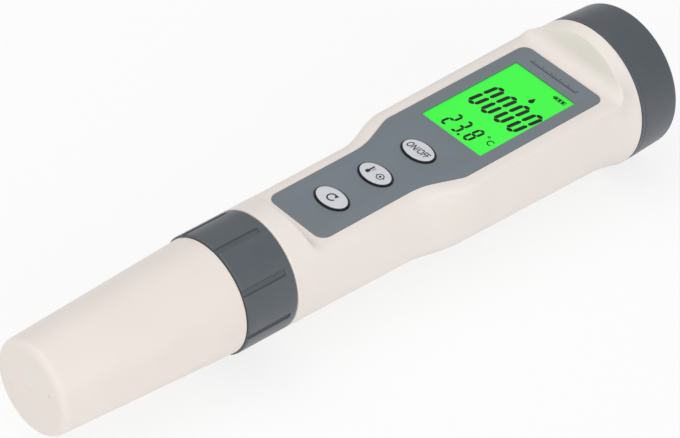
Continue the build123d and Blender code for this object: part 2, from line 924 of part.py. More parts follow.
# Battery cells in a pocket that hangs below the board
cell_place = (0, -cell_drop)
cell_axis = Axis((0, 0, axis_height - cell_drop), (1, 0, 0))
cell_side = Plane(origin=(0, 0, axis_height - cell_drop), x_dir=(1, 0, 0), z_dir=(0, -1, 0))
cell_end_x = carrier_out_x - 4 * contact_thickness
cell_start_x = cell_end_x - cell_count * cell_thickness
pocket_floor_x = cell_start_x - spring_length - contact_thickness
pocket_radius = cell_radius + cell_gap
pocket_x = pocket_floor_x - pocket_wall
tab_ring = 9.0
tab_width = 3.0
tab_thickness = 0.6
tab_height = 3.0
strip_width = 4.0
strip_depth = cell_drop - pocket_radius - pocket_wall
strip_height = 5.5

with BuildPart() as battery_carrier:
    with BuildSketch(across(carrier_out_x)):
        Circle(neck_bore - slide_fit)
    extrude(amount=-carrier_thickness)
    with BuildSketch(across(carrier_out_x)):
        with Locations(cell_place):
            Circle(pocket_radius + pocket_wall)
    extrude(amount=pocket_x - carrier_out_x)
    with BuildSketch(across(carrier_out_x)):
        with Locations(cell_place):
            Circle(pocket_radius)
    extrude(amount=pocket_floor_x - carrier_out_x, mode=Mode.SUBTRACT)
    with BuildSketch(across(carrier_out_x)):
        with Locations(*boss_places):
            Circle(screw_radius + slide_fit)
        with Locations((-tab_ring, tab_height), (tab_ring, tab_height)):
            Rectangle(tab_thickness + 6 * slide_fit, tab_width + 6 * slide_fit)
        with Locations((0, -strip_depth + contact_thickness / 2 + glue_gap)):
            Rectangle(strip_width + 2 * slide_fit, contact_thickness + 2 * glue_gap)
    extrude(amount=-carrier_thickness, mode=Mode.SUBTRACT)
    with BuildSketch(across(pocket_x)):
        with Locations(cell_place):
            Circle(connector_pin_radius + glue_gap)
    extrude(amount=pocket_wall, mode=Mode.SUBTRACT)

battery_carrier.part.label = "battery_carrier"
export_step(battery_carrier.part, "parts/battery_carrier.step")

with BuildPart() as carrier_screws:
    with BuildSketch(across(carrier_out_x)):
        with Locations(*boss_places):
            Circle(screw_radius)
    extrude(amount=-carrier_thickness - screw_length + 1)
    with BuildSketch(across(carrier_out_x)):
        with Locations(*boss_places):
            Circle(screw_head_radius)
    extrude(amount=screw_radius)
    with BuildSketch(across(carrier_out_x + screw_radius)):
        with Locations(*boss_places):
            Rectangle(2 * screw_radius, screw_radius / 3)
            Rectangle(screw_radius / 3, 2 * screw_radius)
    extrude(amount=-screw_radius / 2, mode=Mode.SUBTRACT)

carrier_screws.part.label = "carrier_screws"
export_step(carrier_screws.part, "parts/carrier_screws.step")

for count in range(cell_count):
    with BuildPart() as cell:
        with BuildSketch(across(cell_start_x + count * cell_thickness)):
            with Locations(cell_place):
                Circle(cell_radius - 3 * cell_step)
        extrude(amount=cell_step)
        with BuildSketch(across(cell_start_x + count * cell_thickness + cell_step)):
            with Locations(cell_place):
                Circle(cell_radius)
        extrude(amount=cell_thickness - cell_step)
    cell.part.label = "button_cell_" + str(count + 1)
    export_step(cell.part, "parts/button_cell_" + str(count + 1) + ".step")

coil_x = pocket_floor_x + contact_thickness + spring_wire
coil_height = spring_length - 2 * spring_wire - glue_gap
with BuildPart() as cell_spring:
    with BuildLine():
        coil = Helix(
            pitch=coil_height / spring_turns,
            height=coil_height,
            radius=spring_radius,
            center=(coil_x, 0, axis_height - cell_drop),
            direction=(1, 0, 0),
        )
    with BuildSketch(Plane(origin=coil @ 0, z_dir=coil % 0)):
        Circle(spring_wire)
    sweep(is_frenet=True)

cell_spring.part.label = "cell_spring"
export_step(cell_spring.part, "parts/cell_spring.step")

# Contact under the spring, with a stud through the pocket's floor and a leg up to the board
leg_x = pocket_x - contact_thickness
board_back = flat_height - (board_depth + board_thickness) + tan(tilt) * (leg_x - flat_x)
with BuildPart() as negative_contact:
    with BuildSketch(across(pocket_floor_x)):
        with Locations(cell_place):
            Circle(spring_radius + spring_wire)
    extrude(amount=contact_thickness)
    with BuildSketch(across(pocket_floor_x)):
        with Locations(cell_place):
            Circle(connector_pin_radius)
    extrude(amount=-pocket_wall)
    with BuildSketch(across(pocket_x)):
        with Locations((0, (board_back - cell_drop) / 2)):
            Rectangle(strip_width, board_back + cell_drop - 2 * glue_gap)
    extrude(amount=-contact_thickness)

negative_contact.part.label = "negative_contact"
export_step(negative_contact.part, "parts/negative_contact.step")

# Contact strip along the top of the pocket, from the board to a pad on the carrier's face
strip_x = pocket_x + strip_width
strip_out_x = carrier_out_x + contact_thickness
strip_back = flat_height - (board_depth + board_thickness) + tan(tilt) * (strip_x - flat_x)
with BuildPart() as positive_contact:
    with BuildSketch(side):
        with BuildLine():
            Polyline(
                (strip_x, -strip_depth + glue_gap),
                (strip_out_x, -strip_depth + glue_gap),
                (strip_out_x, strip_height),
                (carrier_out_x, strip_height),
                (carrier_out_x, -strip_depth + glue_gap + contact_thickness),
                (strip_x + contact_thickness, -strip_depth + glue_gap + contact_thickness),
                (strip_x + contact_thickness, strip_back - glue_gap),
                (strip_x, strip_back - glue_gap),
                close=True,
            )
        make_face()
    extrude(amount=strip_width / 2, both=True)

positive_contact.part.label = "positive_contact"
export_step(positive_contact.part, "parts/positive_contact.step")


# Battery cap, with the plate that joins the last cell to the strip riveted inside it
cap_start_x = rim_x + seam_gap
cap_bore = neck_radius + turn_fit
cap_floor_x = end_x - battery_cap_end_wall
plate_x = neck_out_x + 3 * contact_thickness
plate_out_x = plate_x + contact_thickness
line_x = cap_start_x + 1.1
line_width = 0.25

with BuildPart() as battery_cap:
    with BuildSketch(side) as cap_section:
        with BuildLine():
            Polyline(
                (cap_start_x, cap_bore),
                (cap_start_x, battery_cap_rim_radius),
                (end_x, battery_cap_end_radius),
                (end_x, 0),
                (cap_floor_x, 0),
                (cap_floor_x, cap_bore),
                close=True,
            )
        make_face()
        rim_corner = cap_section.vertices().sort_by_distance((end_x, battery_cap_end_radius, 0))[0]
        fillet(rim_corner, battery_cap_round)
        with Locations((line_x, battery_cap_rim_radius)):
            Rectangle(line_width, line_width, mode=Mode.SUBTRACT)
    revolve(axis=long_axis)
    with BuildSketch(across(cap_floor_x)):
        Circle(cap_boss_radius)
    extrude(amount=plate_out_x + glue_gap - cap_floor_x)
    with BuildSketch(across(plate_out_x)):
        Circle(rivet_radius + glue_gap)
    extrude(amount=cap_floor_x - plate_out_x + battery_cap_end_wall / 2, mode=Mode.SUBTRACT)

battery_cap.part.label = "battery_cap"
export_step(battery_cap.part, "parts/battery_cap.step")

with BuildPart() as cap_rivet:
    with BuildSketch(across(plate_x - glue_gap)):
        Circle(rivet_head)
    extrude(amount=-2 * contact_thickness)
    with BuildSketch(across(plate_x - glue_gap)):
        Circle(rivet_radius)
    extrude(amount=cap_floor_x - plate_x + battery_cap_end_wall / 2)

cap_rivet.part.label = "cap_rivet"
export_step(cap_rivet.part, "parts/cap_rivet.step")

with BuildPart() as contact_plate:
    with BuildSketch(across(plate_x)):
        Circle(contact_plate_radius)
        Circle(rivet_radius + slide_fit, mode=Mode.SUBTRACT)
    extrude(amount=contact_thickness)
    with BuildSketch(across(plate_x)):
        with Locations(cell_place):
            Circle(cell_radius / 2)
    extrude(amount=cell_end_x + glue_gap - plate_x)
    with BuildSketch(across(plate_x)):
        with Locations((0, finger_height)):
            Circle(finger_radius)
    extrude(amount=strip_out_x + glue_gap - plate_x)
    with BuildSketch(across(plate_x)):
        with Locations((-tab_ring, tab_height), (tab_ring, tab_height)):
            Rectangle(tab_thickness, tab_width)
    extrude(amount=carrier_in_x - plate_x)

contact_plate.part.label = "contact_plate"
export_step(contact_plate.part, "parts/contact_plate.step")
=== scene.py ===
import math

import bmesh
import bpy
import numpy as np
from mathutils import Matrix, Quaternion, Vector


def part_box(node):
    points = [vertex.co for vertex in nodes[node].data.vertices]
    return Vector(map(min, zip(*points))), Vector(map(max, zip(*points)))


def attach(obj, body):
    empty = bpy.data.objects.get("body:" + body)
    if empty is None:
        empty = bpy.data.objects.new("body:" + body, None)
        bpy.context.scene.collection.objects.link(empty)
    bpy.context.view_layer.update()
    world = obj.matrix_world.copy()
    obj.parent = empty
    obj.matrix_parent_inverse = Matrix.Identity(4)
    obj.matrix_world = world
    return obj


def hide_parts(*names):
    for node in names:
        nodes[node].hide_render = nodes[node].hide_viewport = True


# A pocket water tester lying on its back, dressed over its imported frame.
# Shapes are worked out in millimetres along the tester's axis and written in metres.

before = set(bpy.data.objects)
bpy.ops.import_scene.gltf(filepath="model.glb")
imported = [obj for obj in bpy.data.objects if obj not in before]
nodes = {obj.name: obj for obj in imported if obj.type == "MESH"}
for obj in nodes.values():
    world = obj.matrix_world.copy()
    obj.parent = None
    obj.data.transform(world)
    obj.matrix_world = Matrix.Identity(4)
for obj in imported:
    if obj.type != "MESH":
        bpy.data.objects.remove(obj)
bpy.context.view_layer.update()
scene = bpy.context.scene
millimetre = 0.001

print("stage: places read from the frame")


def span(node):
    low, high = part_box(node)
    return np.array(low) / millimetre, np.array(high) / millimetre


shellLow, shellHigh = span("body_shell")
capLow, capHigh = span("protective_cap")
collarLow, collarHigh = span("locking_collar")
endLow, endHigh = span("battery_cap")
axisHeight = (endLow[2] + endHigh[2]) / 2

body = {
    "noseLength": 8.0,
    "noseRadius": 13.2,
    "threadDepth": 0.45,
    "bore": 11.1,
    "boreEnd": 5.0,
    "gripStart": 15.2,
    "gripEnd": 15.6,
    "gripLength": 38.0,
    "flareLength": 15.5,
    "headStart": 17.45,
    "headEnd": 18.05,
    "rimFlare": 8.8,
    "rimRadius": 19.6,
    "neckLength": 8.5,
    "neckRadius": 17.2,
    "neckBore": 15.2,
    "wall": 1.8,
    "frontWall": 2.0,
    "headDraft": 0.12,
    "crown": 16.0,
    "crownBlend": 1.6,
    "sideTop": 12.0,
    "mouthRound": 0.35,
    "shoulderBlend": (1.9, 3.1),
    "crestBlend": 0.5,
    "crestStart": 1.6,
    "crestRun": 1.4,
    "endChamfer": 0.4,
    "gripBore": 13.4,
    "headBore": 15.65,
    "boreRamp": 2.3,
    "neckStep": 14.0,
    "sealPlace": 1.3,
    "sealHalf": 0.65,
    "sealFloor": 16.1,
    "stations": 230,
    "upperAngles": 172,
    "lowerAngles": 72,
}
flat = {
    "start": 10.9,
    "length": 89.2,
    "height": 9.46,
    "tilt": math.radians(0.92),
    "scoop": 4.4,
    "scoopAngle": math.radians(72),
}
bodyStart = shellLow[0] + body["noseLength"]
rimX = shellHigh[0] - body["neckLength"]
flareX = bodyStart + body["gripLength"]
headX = flareX + body["flareLength"]
rimFlareX = rimX - body["rimFlare"]
flatX = bodyStart + flat["start"]


def place(points):
    # Millimetres measured from the axis become metres in the row's frame.
    moved = np.array(points, float)
    moved[..., 2] += axisHeight
    return moved * millimetre


def onFlat(u, v, w):
    # A point u along the front flat, v across it and w above it, from the axis, in millimetres.
    c, s = math.cos(flat["tilt"]), math.sin(flat["tilt"])
    u, v, w = np.broadcast_arrays(np.asarray(u, float), v, w)
    return np.stack([flatX + u * c - w * s, v, flat["height"] + u * s + w * c], -1)


print("stage: materials")


class Wire:
    # One socket of a material's node tree, so that shader sums read as Python.

    def __init__(self, tree, socket=None):
        self.tree = tree
        self.socket = socket

    def node(self, kind, settings=None, inputs=None, out=0):
        made = self.tree.nodes.new("ShaderNode" + kind)
        for key, value in (settings or {}).items():
            setattr(made, key, value)
        for key, value in (inputs or {}).items():
            if isinstance(value, Wire):
                self.tree.links.new(value.socket, made.inputs[key])
            else:
                made.inputs[key].default_value = value
        return Wire(self.tree, made.outputs[out])

    def sum(self, operation, first, second):
        kinds = {w.socket.type for w in (first, second) if isinstance(w, Wire)}
        if "VECTOR" in kinds:
            return self.node("VectorMath", {"operation": operation}, {0: first, 1: second})
        return self.node("Math", {"operation": operation}, {0: first, 1: second})

    def __add__(self, other):
        return self.sum("ADD", self, other)

    def __radd__(self, other):
        return self.sum("ADD", other, self)

    def __mul__(self, other):
        return self.sum("MULTIPLY", self, other)

    def __rmul__(self, other):
        return self.sum("MULTIPLY", other, self)

    def blend(self, low, high):
        # Between two colours, by this value from 0 to 1.
        settings = {"data_type": "RGBA", "clamp_factor": True}
        return self.node("Mix", settings, {"Factor": self, 6: low, 7: high}, out=2)


def linear(red, green, blue):
    # A colour written as on a screen, 0 to 255, as Blender wants it.
    values = np.array([red, green, blue]) / 255
    return (*np.where(values <= 0.04045, values / 12.92, ((values + 0.055) / 1.055) ** 2.4), 1.0)


def material(name, sockets, build=None):
    # A Principled material: fixed values on its sockets, and what varies from build(wire).
    made = bpy.data.materials.new(name)
    made.use_nodes = True
    tree = made.node_tree
    shader = tree.nodes["Principled BSDF"]
    for key, value in sockets.items():
        shader.inputs[key].default_value = value
    if build:
        for key, value in build(Wire(tree)).items():
            tree.links.new(value.socket, shader.inputs[key])
    return made


def grain(wire, size, seedShift=0.0, detail=3.0):
    # Noise whose grains are about this many millimetres across, from 0 to 1.
    where = wire.node("TexCoord", out=3)
    shift = (seedShift, seedShift * 0.7, seedShift * 0.3)
    moved = wire.node("Mapping", {}, {"Vector": where, "Location": shift})
    inputs = {"Vector": moved, "Scale": 1 / (size * millimetre), "Detail": detail, "Roughness": 0.55}
    return wire.node("TexNoise", {}, inputs)


def bumped(wire, height, depth, strength=0.5):
    # A normal roughened by height, this many millimetres deep.
    return wire.node("Bump", {}, {"Height": height, "Distance": depth * millimetre, "Strength": strength})


def moulded(name, low, high, roughness, patch=14.0, grit=0.35, depth=0.02, seed=0.0):
    # Moulded plastic: two near tones in soft patches, a fine spark-eroded grain and uneven gloss.

    def build(wire):
        patches = grain(wire, patch, seed)
        fine = grain(wire, grit, seed + 3.1, 2.0)
        tone = patches * 0.8 + fine * 0.2
        gloss = grain(wire, patch / 3, seed + 7.7) * 0.12 + (roughness - 0.06)
        return {
            "Base Color": tone.blend(low, high),
            "Roughness": gloss + fine * 0.04,
            "Normal": bumped(wire, fine + grain(wire, grit * 4, seed + 1.3) * 0.5, depth),
        }

    return material(name, {}, build)


creamShell = moulded("cream_moulding", linear(236, 227, 219), linear(242, 234, 229), 0.42, seed=0.2)
creamCap = moulded("cream_cap_moulding", linear(235, 226, 217), linear(241, 232, 226), 0.44, seed=5.2)
slatePlastic = moulded(
    "slate_moulding", linear(80, 87, 93), linear(92, 98, 104), 0.36, patch=9, grit=0.3, seed=9.4
)
slateEnd = moulded(
    "slate_end_moulding", linear(76, 83, 89), linear(88, 94, 100), 0.38, patch=9, grit=0.3, seed=12.1
)
panelFilm = moulded(
    "printed_film",
    linear(113, 123, 130),
    linear(120, 129, 137),
    0.5,
    patch=20,
    grit=0.22,
    depth=0.008,
    seed=2.6,
)
keySilver = moulded(
    "silver_key_paint",
    linear(208, 208, 216),
    linear(222, 222, 229),
    0.4,
    patch=2,
    grit=0.16,
    depth=0.01,
    seed=4.4,
)
blackInk = moulded(
    "black_ink", linear(24, 27, 33), linear(32, 35, 41), 0.45, patch=3, grit=0.2, depth=0.006, seed=6.0
)
displayInk = moulded(
    "display_ink", linear(4, 12, 6), linear(8, 20, 9), 0.35, patch=3, grit=0.3, depth=0.002, seed=6.6
)
blackPlastic = moulded("black_moulding", linear(28, 29, 31), linear(40, 41, 44), 0.4, patch=6, seed=8.0)
whitePlastic = moulded(
    "white_moulding", linear(226, 226, 222), linear(236, 236, 233), 0.45, patch=8, seed=8.8
)
sealRubber = moulded(
    "seal_rubber", linear(30, 30, 31), linear(44, 43, 44), 0.62, patch=3, grit=0.5, depth=0.03, seed=10.2
)
junctionCeramic = moulded(
    "porous_ceramic",
    linear(214, 208, 192),
    linear(236, 232, 220),
    0.8,
    patch=0.8,
    grit=0.15,
    depth=0.05,
    seed=3.3,
)


def metalBuild(low, high, streak, roughness):
    # Drawn metal: fine streaks round the piece over a slightly uneven polish.

    def build(wire):
        where = wire.node("TexCoord", out=3)
        squeezed = wire.node("Mapping", {}, {"Vector": where, "Scale": (40, 1, 1)})
        inputs = {"Vector": squeezed, "Scale": 1 / (streak * millimetre), "Detail": 4.0}
        streaks = wire.node("TexNoise", {}, inputs)
        return {
            "Base Color": streaks.blend(low, high),
            "Roughness": streaks * 0.2 + roughness,
            "Normal": bumped(wire, streaks, 0.01, 0.4),
        }

    return build


steel = material(
    "bright_steel", {"Metallic": 1.0}, metalBuild(linear(190, 190, 192), linear(212, 212, 214), 6, 0.2)
)
brass = material(
    "plated_brass", {"Metallic": 1.0}, metalBuild(linear(196, 158, 84), linear(226, 190, 116), 5, 0.24)
)
silverWire = material(
    "silver_wire", {"Metallic": 1.0}, metalBuild(linear(214, 214, 216), linear(230, 230, 232), 3, 0.2)
)


def glassBuild(wire):
    # Blown glass, a trace uneven.
    return {
        "Normal": bumped(wire, grain(wire, 4, 1.0), 0.03, 0.3),
        "Roughness": grain(wire, 2, 2.0) * 0.04 + 0.02,
    }


glassSockets = {"Base Color": linear(236, 244, 246), "Transmission Weight": 0.9, "IOR": 1.47}
bulbGlass = material("thin_glass", glassSockets, glassBuild)


def boardBuild(wire):
    # Green lacquer over copper tracks that run along the board.
    where = wire.node("TexCoord", out=3)
    inputs = {"Vector": where, "Scale": 180.0, "Mortar Size": 0.03}
    tracks = wire.node("TexBrick", {"offset": 0.5}, inputs, out=1)
    return {
        "Base Color": tracks.blend(linear(18, 84, 44), linear(34, 118, 62)),
        "Roughness": tracks * 0.15 + 0.3,
        "Normal": bumped(wire, tracks, 0.04),
    }


boardLacquer = material("board_lacquer", {}, boardBuild)


def litBuild(wire):
    # Lit green film, in soft patches of two near greens.
    glow = grain(wire, 26, 4.0, 1.0) * 0.6 + grain(wire, 0.5, 1.0, 1.0) * 0.1
    return {
        "Base Color": glow.blend(linear(20, 70, 24), linear(26, 84, 30)),
        "Emission Color": glow.blend(linear(58, 246, 64), linear(72, 255, 78)),
        "Roughness": glow * 0.1 + 0.16,
    }


litGreen = material("lit_display_film", {"Emission Strength": 0.92, "Specular IOR Level": 0.3}, litBuild)

nodeFinish = {
    "display_frame": whitePlastic,
    "display_glass": litGreen,
    "backlight": whitePlastic,
    "zebra_strip": sealRubber,
    "circuit_board": boardLacquer,
    "main_chip": blackPlastic,
    "electrode_socket": blackPlastic,
    "battery_carrier": whitePlastic,
    "carrier_screws": steel,
    "cell_spring": steel,
    "negative_contact": brass,
    "positive_contact": brass,
    "battery_cap_seal": sealRubber,
    "cap_seal": sealRubber,
    "body_seal": sealRubber,
    "collar_clip": steel,
    "electrode_body": blackPlastic,
    "glass_bulb": bulbGlass,
    "glass_plug": sealRubber,
    "core_wire": silverWire,
    "conductivity_pins": steel,
    "temperature_probe": steel,
    "reference_junction": junctionCeramic,
    "electrode_plug": whitePlastic,
    "connector_pins": brass,
    "contact_plate": brass,
    "cap_rivet": brass,
}
for count in range(1, 5):
    nodeFinish[f"button_cell_{count}"] = steel
for which in ("mode", "calibration", "power"):
    nodeFinish["switch_" + which] = blackPlastic
    nodeFinish["plunger_" + which] = blackPlastic
for name, finish in nodeFinish.items():
    nodes[name].data.materials.clear()
    nodes[name].data.materials.append(finish)

print("stage: mesh helpers")


def makePiece(name, points, faces, finish, rideOn, replaced=(), sharp=35):
    # One closed mesh from points in metres; faces are turned outward, and edges past sharp degrees stay
    # crisp.
    mesh = bpy.data.meshes.new(name)
    mesh.from_pydata(np.asarray(points).reshape(-1, 3), [], [list(f) for f in faces])
    work = bmesh.new()
    work.from_mesh(mesh)
    bmesh.ops.remove_doubles(work, verts=work.verts, dist=2e-7)
    bmesh.ops.dissolve_degenerate(work, edges=work.edges, dist=1e-8)
    if work.calc_volume(signed=True) < 0:
        bmesh.ops.reverse_faces(work, faces=work.faces)
    work.to_mesh(mesh)
    work.free()
    piece = bpy.data.objects.new(name, mesh)
    scene.collection.objects.link(piece)
    mesh.materials.append(finish)
    smooth(piece, sharp)
    if rideOn:
        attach(piece, rideOn)
    if replaced:
        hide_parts(*replaced)
    return piece


def smooth(piece, sharp):
    piece.data.shade_smooth()
    piece.data.set_sharp_from_angle(angle=math.radians(sharp))


def gridFaces(rows, columns, wrapRows=False, wrapColumns=True):
    # Quads of a grid of rows by columns, each way closed or open.
    r = np.arange(rows if wrapRows else rows - 1)[:, None]
    c = np.arange(columns if wrapColumns else columns - 1)[None, :]
    r2, c2 = (r + 1) % rows, (c + 1) % columns
    corners = [r * columns + c, r * columns + c2, r2 * columns + c2, r2 * columns + c]
    return np.stack([np.broadcast_to(q, (r.shape[0], c.shape[1])) for q in corners], -1).reshape(-1, 4)


def rounded(corners, radii, steps=6):
    # A closed loop through corners, each turned by an arc of its radius that touches both sides.
    corners = np.array(corners, float)
    before, after = np.roll(corners, 1, 0), np.roll(corners, -1, 0)
    loop = []
    for here, back, on, radius in zip(corners, before, after, radii):
        a = (back - here) / np.linalg.norm(back - here)
        b = (on - here) / np.linalg.norm(on - here)
        half = math.acos(np.clip(a @ b, -1, 1)) / 2
        if radius <= 0 or half > math.pi / 2 - 1e-3:
            loop.append(here[None])
            continue
        reach = radius / math.tan(half)
        middle = here + (a + b) / np.linalg.norm(a + b) * radius / math.sin(half)
        start, end = here + a * reach - middle, here + b * reach - middle
        turn = math.atan2(start[0] * end[1] - start[1] * end[0], start @ end)
        t = np.linspace(0, turn, steps + 1)[:, None]
        side = np.array([-start[1], start[0]])
        loop.append(middle + start * np.cos(t) + side * np.sin(t))
    return np.concatenate(loop)


def lathe(profile, angles, pressed=None):
    # Points of a profile (x, radius) carried round the axis; pressed(x, radius, angle) changes the radius.
    x, angle = profile[:, 0][:, None], angles[None, :]
    radius = profile[:, 1][:, None] + 0 * angle
    if pressed is not None:
        radius = pressed(x, radius, angle)
    return place(np.stack([x + 0 * angle, radius * np.cos(angle), radius * np.sin(angle)], -1))


def turned(
    name, profile, finish, rideOn, replaced=(), count=192, sharp=30, pressed=None, angles=None
):
    # A turned piece from a closed profile.
    if angles is None:
        angles = np.linspace(0, 2 * math.pi, count, endpoint=False)
    points = lathe(profile, angles, pressed)
    faces = gridFaces(len(profile), len(angles), wrapRows=True)
    return makePiece(name, points, faces, finish, rideOn, replaced, sharp)


def stacked(name, loops, levels, finish=None, rideOn=None, replaced=(), sharp=30):
    # A prism on the flat: one loop (u, v) for each level above it, with both ends closed.
    points = np.concatenate([onFlat(loop[:, 0], loop[:, 1], level) for loop, level in zip(loops, levels)])
    count = len(loops[0])
    faces = gridFaces(len(loops), count).tolist()
    last = (len(loops) - 1) * count
    faces += [list(range(count))[::-1], list(range(last, last + count))]
    return makePiece(name, place(points), faces, finish or blackInk, rideOn, replaced, sharp)


def cut(piece, *cutters):
    # Takes the cutters out of piece, for good, and removes them.
    for cutter in cutters:
        modifier = piece.modifiers.new("cut", "BOOLEAN")
        modifier.operation = "DIFFERENCE"
        modifier.solver = "EXACT"
        modifier.object = cutter
    bpy.context.view_layer.update()
    result = bpy.data.meshes.new_from_object(piece.evaluated_get(bpy.context.evaluated_depsgraph_get()))
    piece.modifiers.clear()
    work = bmesh.new()
    work.from_mesh(result)
    bmesh.ops.remove_doubles(work, verts=work.verts, dist=4e-6)
    bmesh.ops.dissolve_degenerate(work, edges=work.edges, dist=1e-7)
    work.to_mesh(result)
    work.free()
    finish = piece.data.materials[0]
    piece.data = result
    result.materials.clear()
    result.materials.append(finish)
    result.polygons.foreach_set("material_index", np.zeros(len(result.polygons), np.int32))
    for cutter in cutters:
        bpy.data.objects.remove(cutter)


def ease(t):
    t = np.clip(t, 0, 1)
    return t * t * (3 - 2 * t)


def softLess(a, b, width):
    # The lesser of a and b, with the corner between them rounded over width.
    near = np.clip(width - np.abs(a - b), 0, None) / np.maximum(width, 1e-9)
    return np.minimum(a, b) - near * near * width / 4


print("stage: body shell")


def hullRadius(x):
    # Grip, flare, head and rim: straight tapers joined by eased stretches.
    grip = body["gripStart"] + (body["gripEnd"] - body["gripStart"]) * (x - bodyStart) / body["gripLength"]
    head = body["headStart"] + (body["headEnd"] - body["headStart"]) * (x - headX) / (rimFlareX - headX)
    share = ease((x - flareX) / body["flareLength"])
    t = np.clip((x - rimFlareX) / body["rimFlare"], 0, 1)
    rim = (body["rimRadius"] - body["headEnd"]) * (t - 0.12 * np.sin(math.pi * t))
    return grip + share * (np.minimum(head, body["headEnd"]) - grip) + rim


def uprightShare(x):
    # How far the sides stand up at x: not at all by the keys, fully by the display, and round again at the
    # rim.
    t = np.clip((x - rimFlareX) / body["rimFlare"], 0, 1)
    return ease((x - flareX) / body["flareLength"]) * (1 - ease(t) * 0.9 - 0.1 * t)


def flatTop(x):
    # Height of the front over the axis along the middle: a tilted line with a scoop's arc and wall at each
    # end.
    level = flat["height"] + math.tan(flat["tilt"]) * (x - flatX)
    far = flatX + flat["length"] * math.cos(flat["tilt"])
    out = np.maximum(flatX - x, x - far)
    arcReach = flat["scoop"] * math.sin(flat["scoopAngle"])
    inArc = np.clip(out, 0, arcReach)
    rise = flat["scoop"] - np.sqrt(flat["scoop"] ** 2 - inArc**2)
    wall = np.clip(out - arcReach, 0, None) * math.tan(flat["scoopAngle"])
    return level + rise + wall


def skinRadius(x, angle):
    # Distance of the skin from the axis: rounds with upright sides, cut by the front's height, corners
    # blended.
    radius, share = hullRadius(x), uprightShare(x)
    top = np.minimum(flatTop(x), body["sideTop"])
    roundReach = np.sqrt(radius**2 - top**2)
    reach = roundReach + share * (radius - body["headDraft"] - roundReach)
    centre = (radius**2 - reach**2 - top**2) / np.maximum(2 * (radius - reach), 1e-6)
    c, s = np.cos(angle), np.sin(angle)
    side = centre * np.abs(c) + np.sqrt(np.maximum((radius - centre) ** 2 - (centre * s) ** 2, 0))
    crown = radius + share * (body["crown"] - radius)
    crownReach = np.sqrt(np.maximum(radius**2 - body["sideTop"] ** 2, 0))
    crownReach = crownReach + share * (radius - body["headDraft"] - crownReach)
    middle = (crown**2 - crownReach**2 - body["sideTop"] ** 2) / (2 * (crown - body["sideTop"]))
    arch = middle * s + np.sqrt(np.maximum((crown - middle) ** 2 - (middle * c) ** 2, 0))
    hull = np.where(s > 0, softLess(side, np.where(s > 0, arch, 99.0), body["crownBlend"] * share), radius)
    ceiling = flatTop(x) / np.maximum(s, 1e-3)
    low, high = body["shoulderBlend"]
    onWall = ease((flatTop(x) - flat["height"] - body["crestStart"]) / body["crestRun"])
    width = (low + (high - low) * share) * (1 - onWall) + body["crestBlend"] * onWall
    return np.where(s > 1e-3, softLess(hull, ceiling, width), hull)


def skinStations(count):
    # Places along the body, evenly spread along the front's own line, so that the scoops get their share.
    x = np.linspace(bodyStart + body["mouthRound"], rimX - body["mouthRound"], 6000)
    line = np.minimum(flatTop(x), hullRadius(x))
    run = np.concatenate([[0], np.cumsum(np.hypot(np.diff(x), np.diff(line) * 2.2))])
    return np.interp(np.linspace(0, run[-1], count), run, x)


upper = np.linspace(0, math.pi, body["upperAngles"], endpoint=False)
lower = np.linspace(math.pi, 2 * math.pi, body["lowerAngles"], endpoint=False)
aroundBody = np.concatenate([upper, lower])


def ringRows(rows):
    # Plain rings (x, radius) round the axis, in the body's own angles.
    c, s = np.cos(aroundBody), np.sin(aroundBody)
    return [np.stack([x + 0 * c, r * c, r * s], -1) for x, r in rows]


def mouthRows(x, inward, first):
    # The skin's edge at a seam, rounded by a quarter turn.
    edge = skinRadius(x + inward * body["mouthRound"], aroundBody)
    rows = []
    for turn in np.linspace(0, math.pi / 2, 5)[:-1]:
        at = x + inward * body["mouthRound"] * (1 - math.cos(turn))
        r = edge - body["mouthRound"] * (1 - math.sin(turn))
        rows.append(np.stack([at + 0 * aroundBody, r * np.cos(aroundBody), r * np.sin(aroundBody)], -1))
    return rows if first else rows[::-1]


core = body["noseRadius"] - body["threadDepth"]
neckCore = body["neckRadius"] - body["threadDepth"]
stations = skinStations(body["stations"])[:, None]
skin = skinRadius(stations, aroundBody[None, :])
skinRows = np.stack([stations + 0 * skin, skin * np.cos(aroundBody), skin * np.sin(aroundBody)], -1)
sealX = rimX + body["sealPlace"]
sealNear, sealFar = sealX - body["sealHalf"], sealX + body["sealHalf"]
noseChamfer = shellLow[0] + body["endChamfer"]
neckChamfer = shellHigh[0] - body["endChamfer"]
outside = np.array(
    ringRows(
        [(shellLow[0], 0), (shellLow[0], core - body["endChamfer"]), (noseChamfer, core), (bodyStart, core)]
    )
    + mouthRows(bodyStart, 1, True)
    + list(skinRows)
    + mouthRows(rimX, -1, False)
    + ringRows([(rimX, neckCore), (sealNear, neckCore), (sealNear, body["sealFloor"])])
    + ringRows([(sealFar, body["sealFloor"]), (sealFar, neckCore), (neckChamfer, neckCore)])
    + ringRows([(shellHigh[0], neckCore - body["endChamfer"]), (shellHigh[0], 0)])
)
skinFaces = gridFaces(len(outside), len(aroundBody))
shell = makePiece("casing", place(outside), skinFaces, creamShell, "body", ("body_shell",))


def hollowRadius(x, angle):
    # The inside: round, with its top cut off one front wall below the flat.
    step = bodyStart + body["boreEnd"]
    radii = [body["bore"], body["gripBore"], body["gripBore"], body["headBore"]]
    radius = np.interp(x, [step - body["boreRamp"], step, flareX, headX], radii)
    level = flat["height"] - body["frontWall"] + math.tan(flat["tilt"]) * (x - flatX)
    ceiling = level / np.maximum(np.sin(angle), 1e-3)
    return np.where(np.sin(angle) > 1e-3, np.minimum(radius, ceiling), radius)


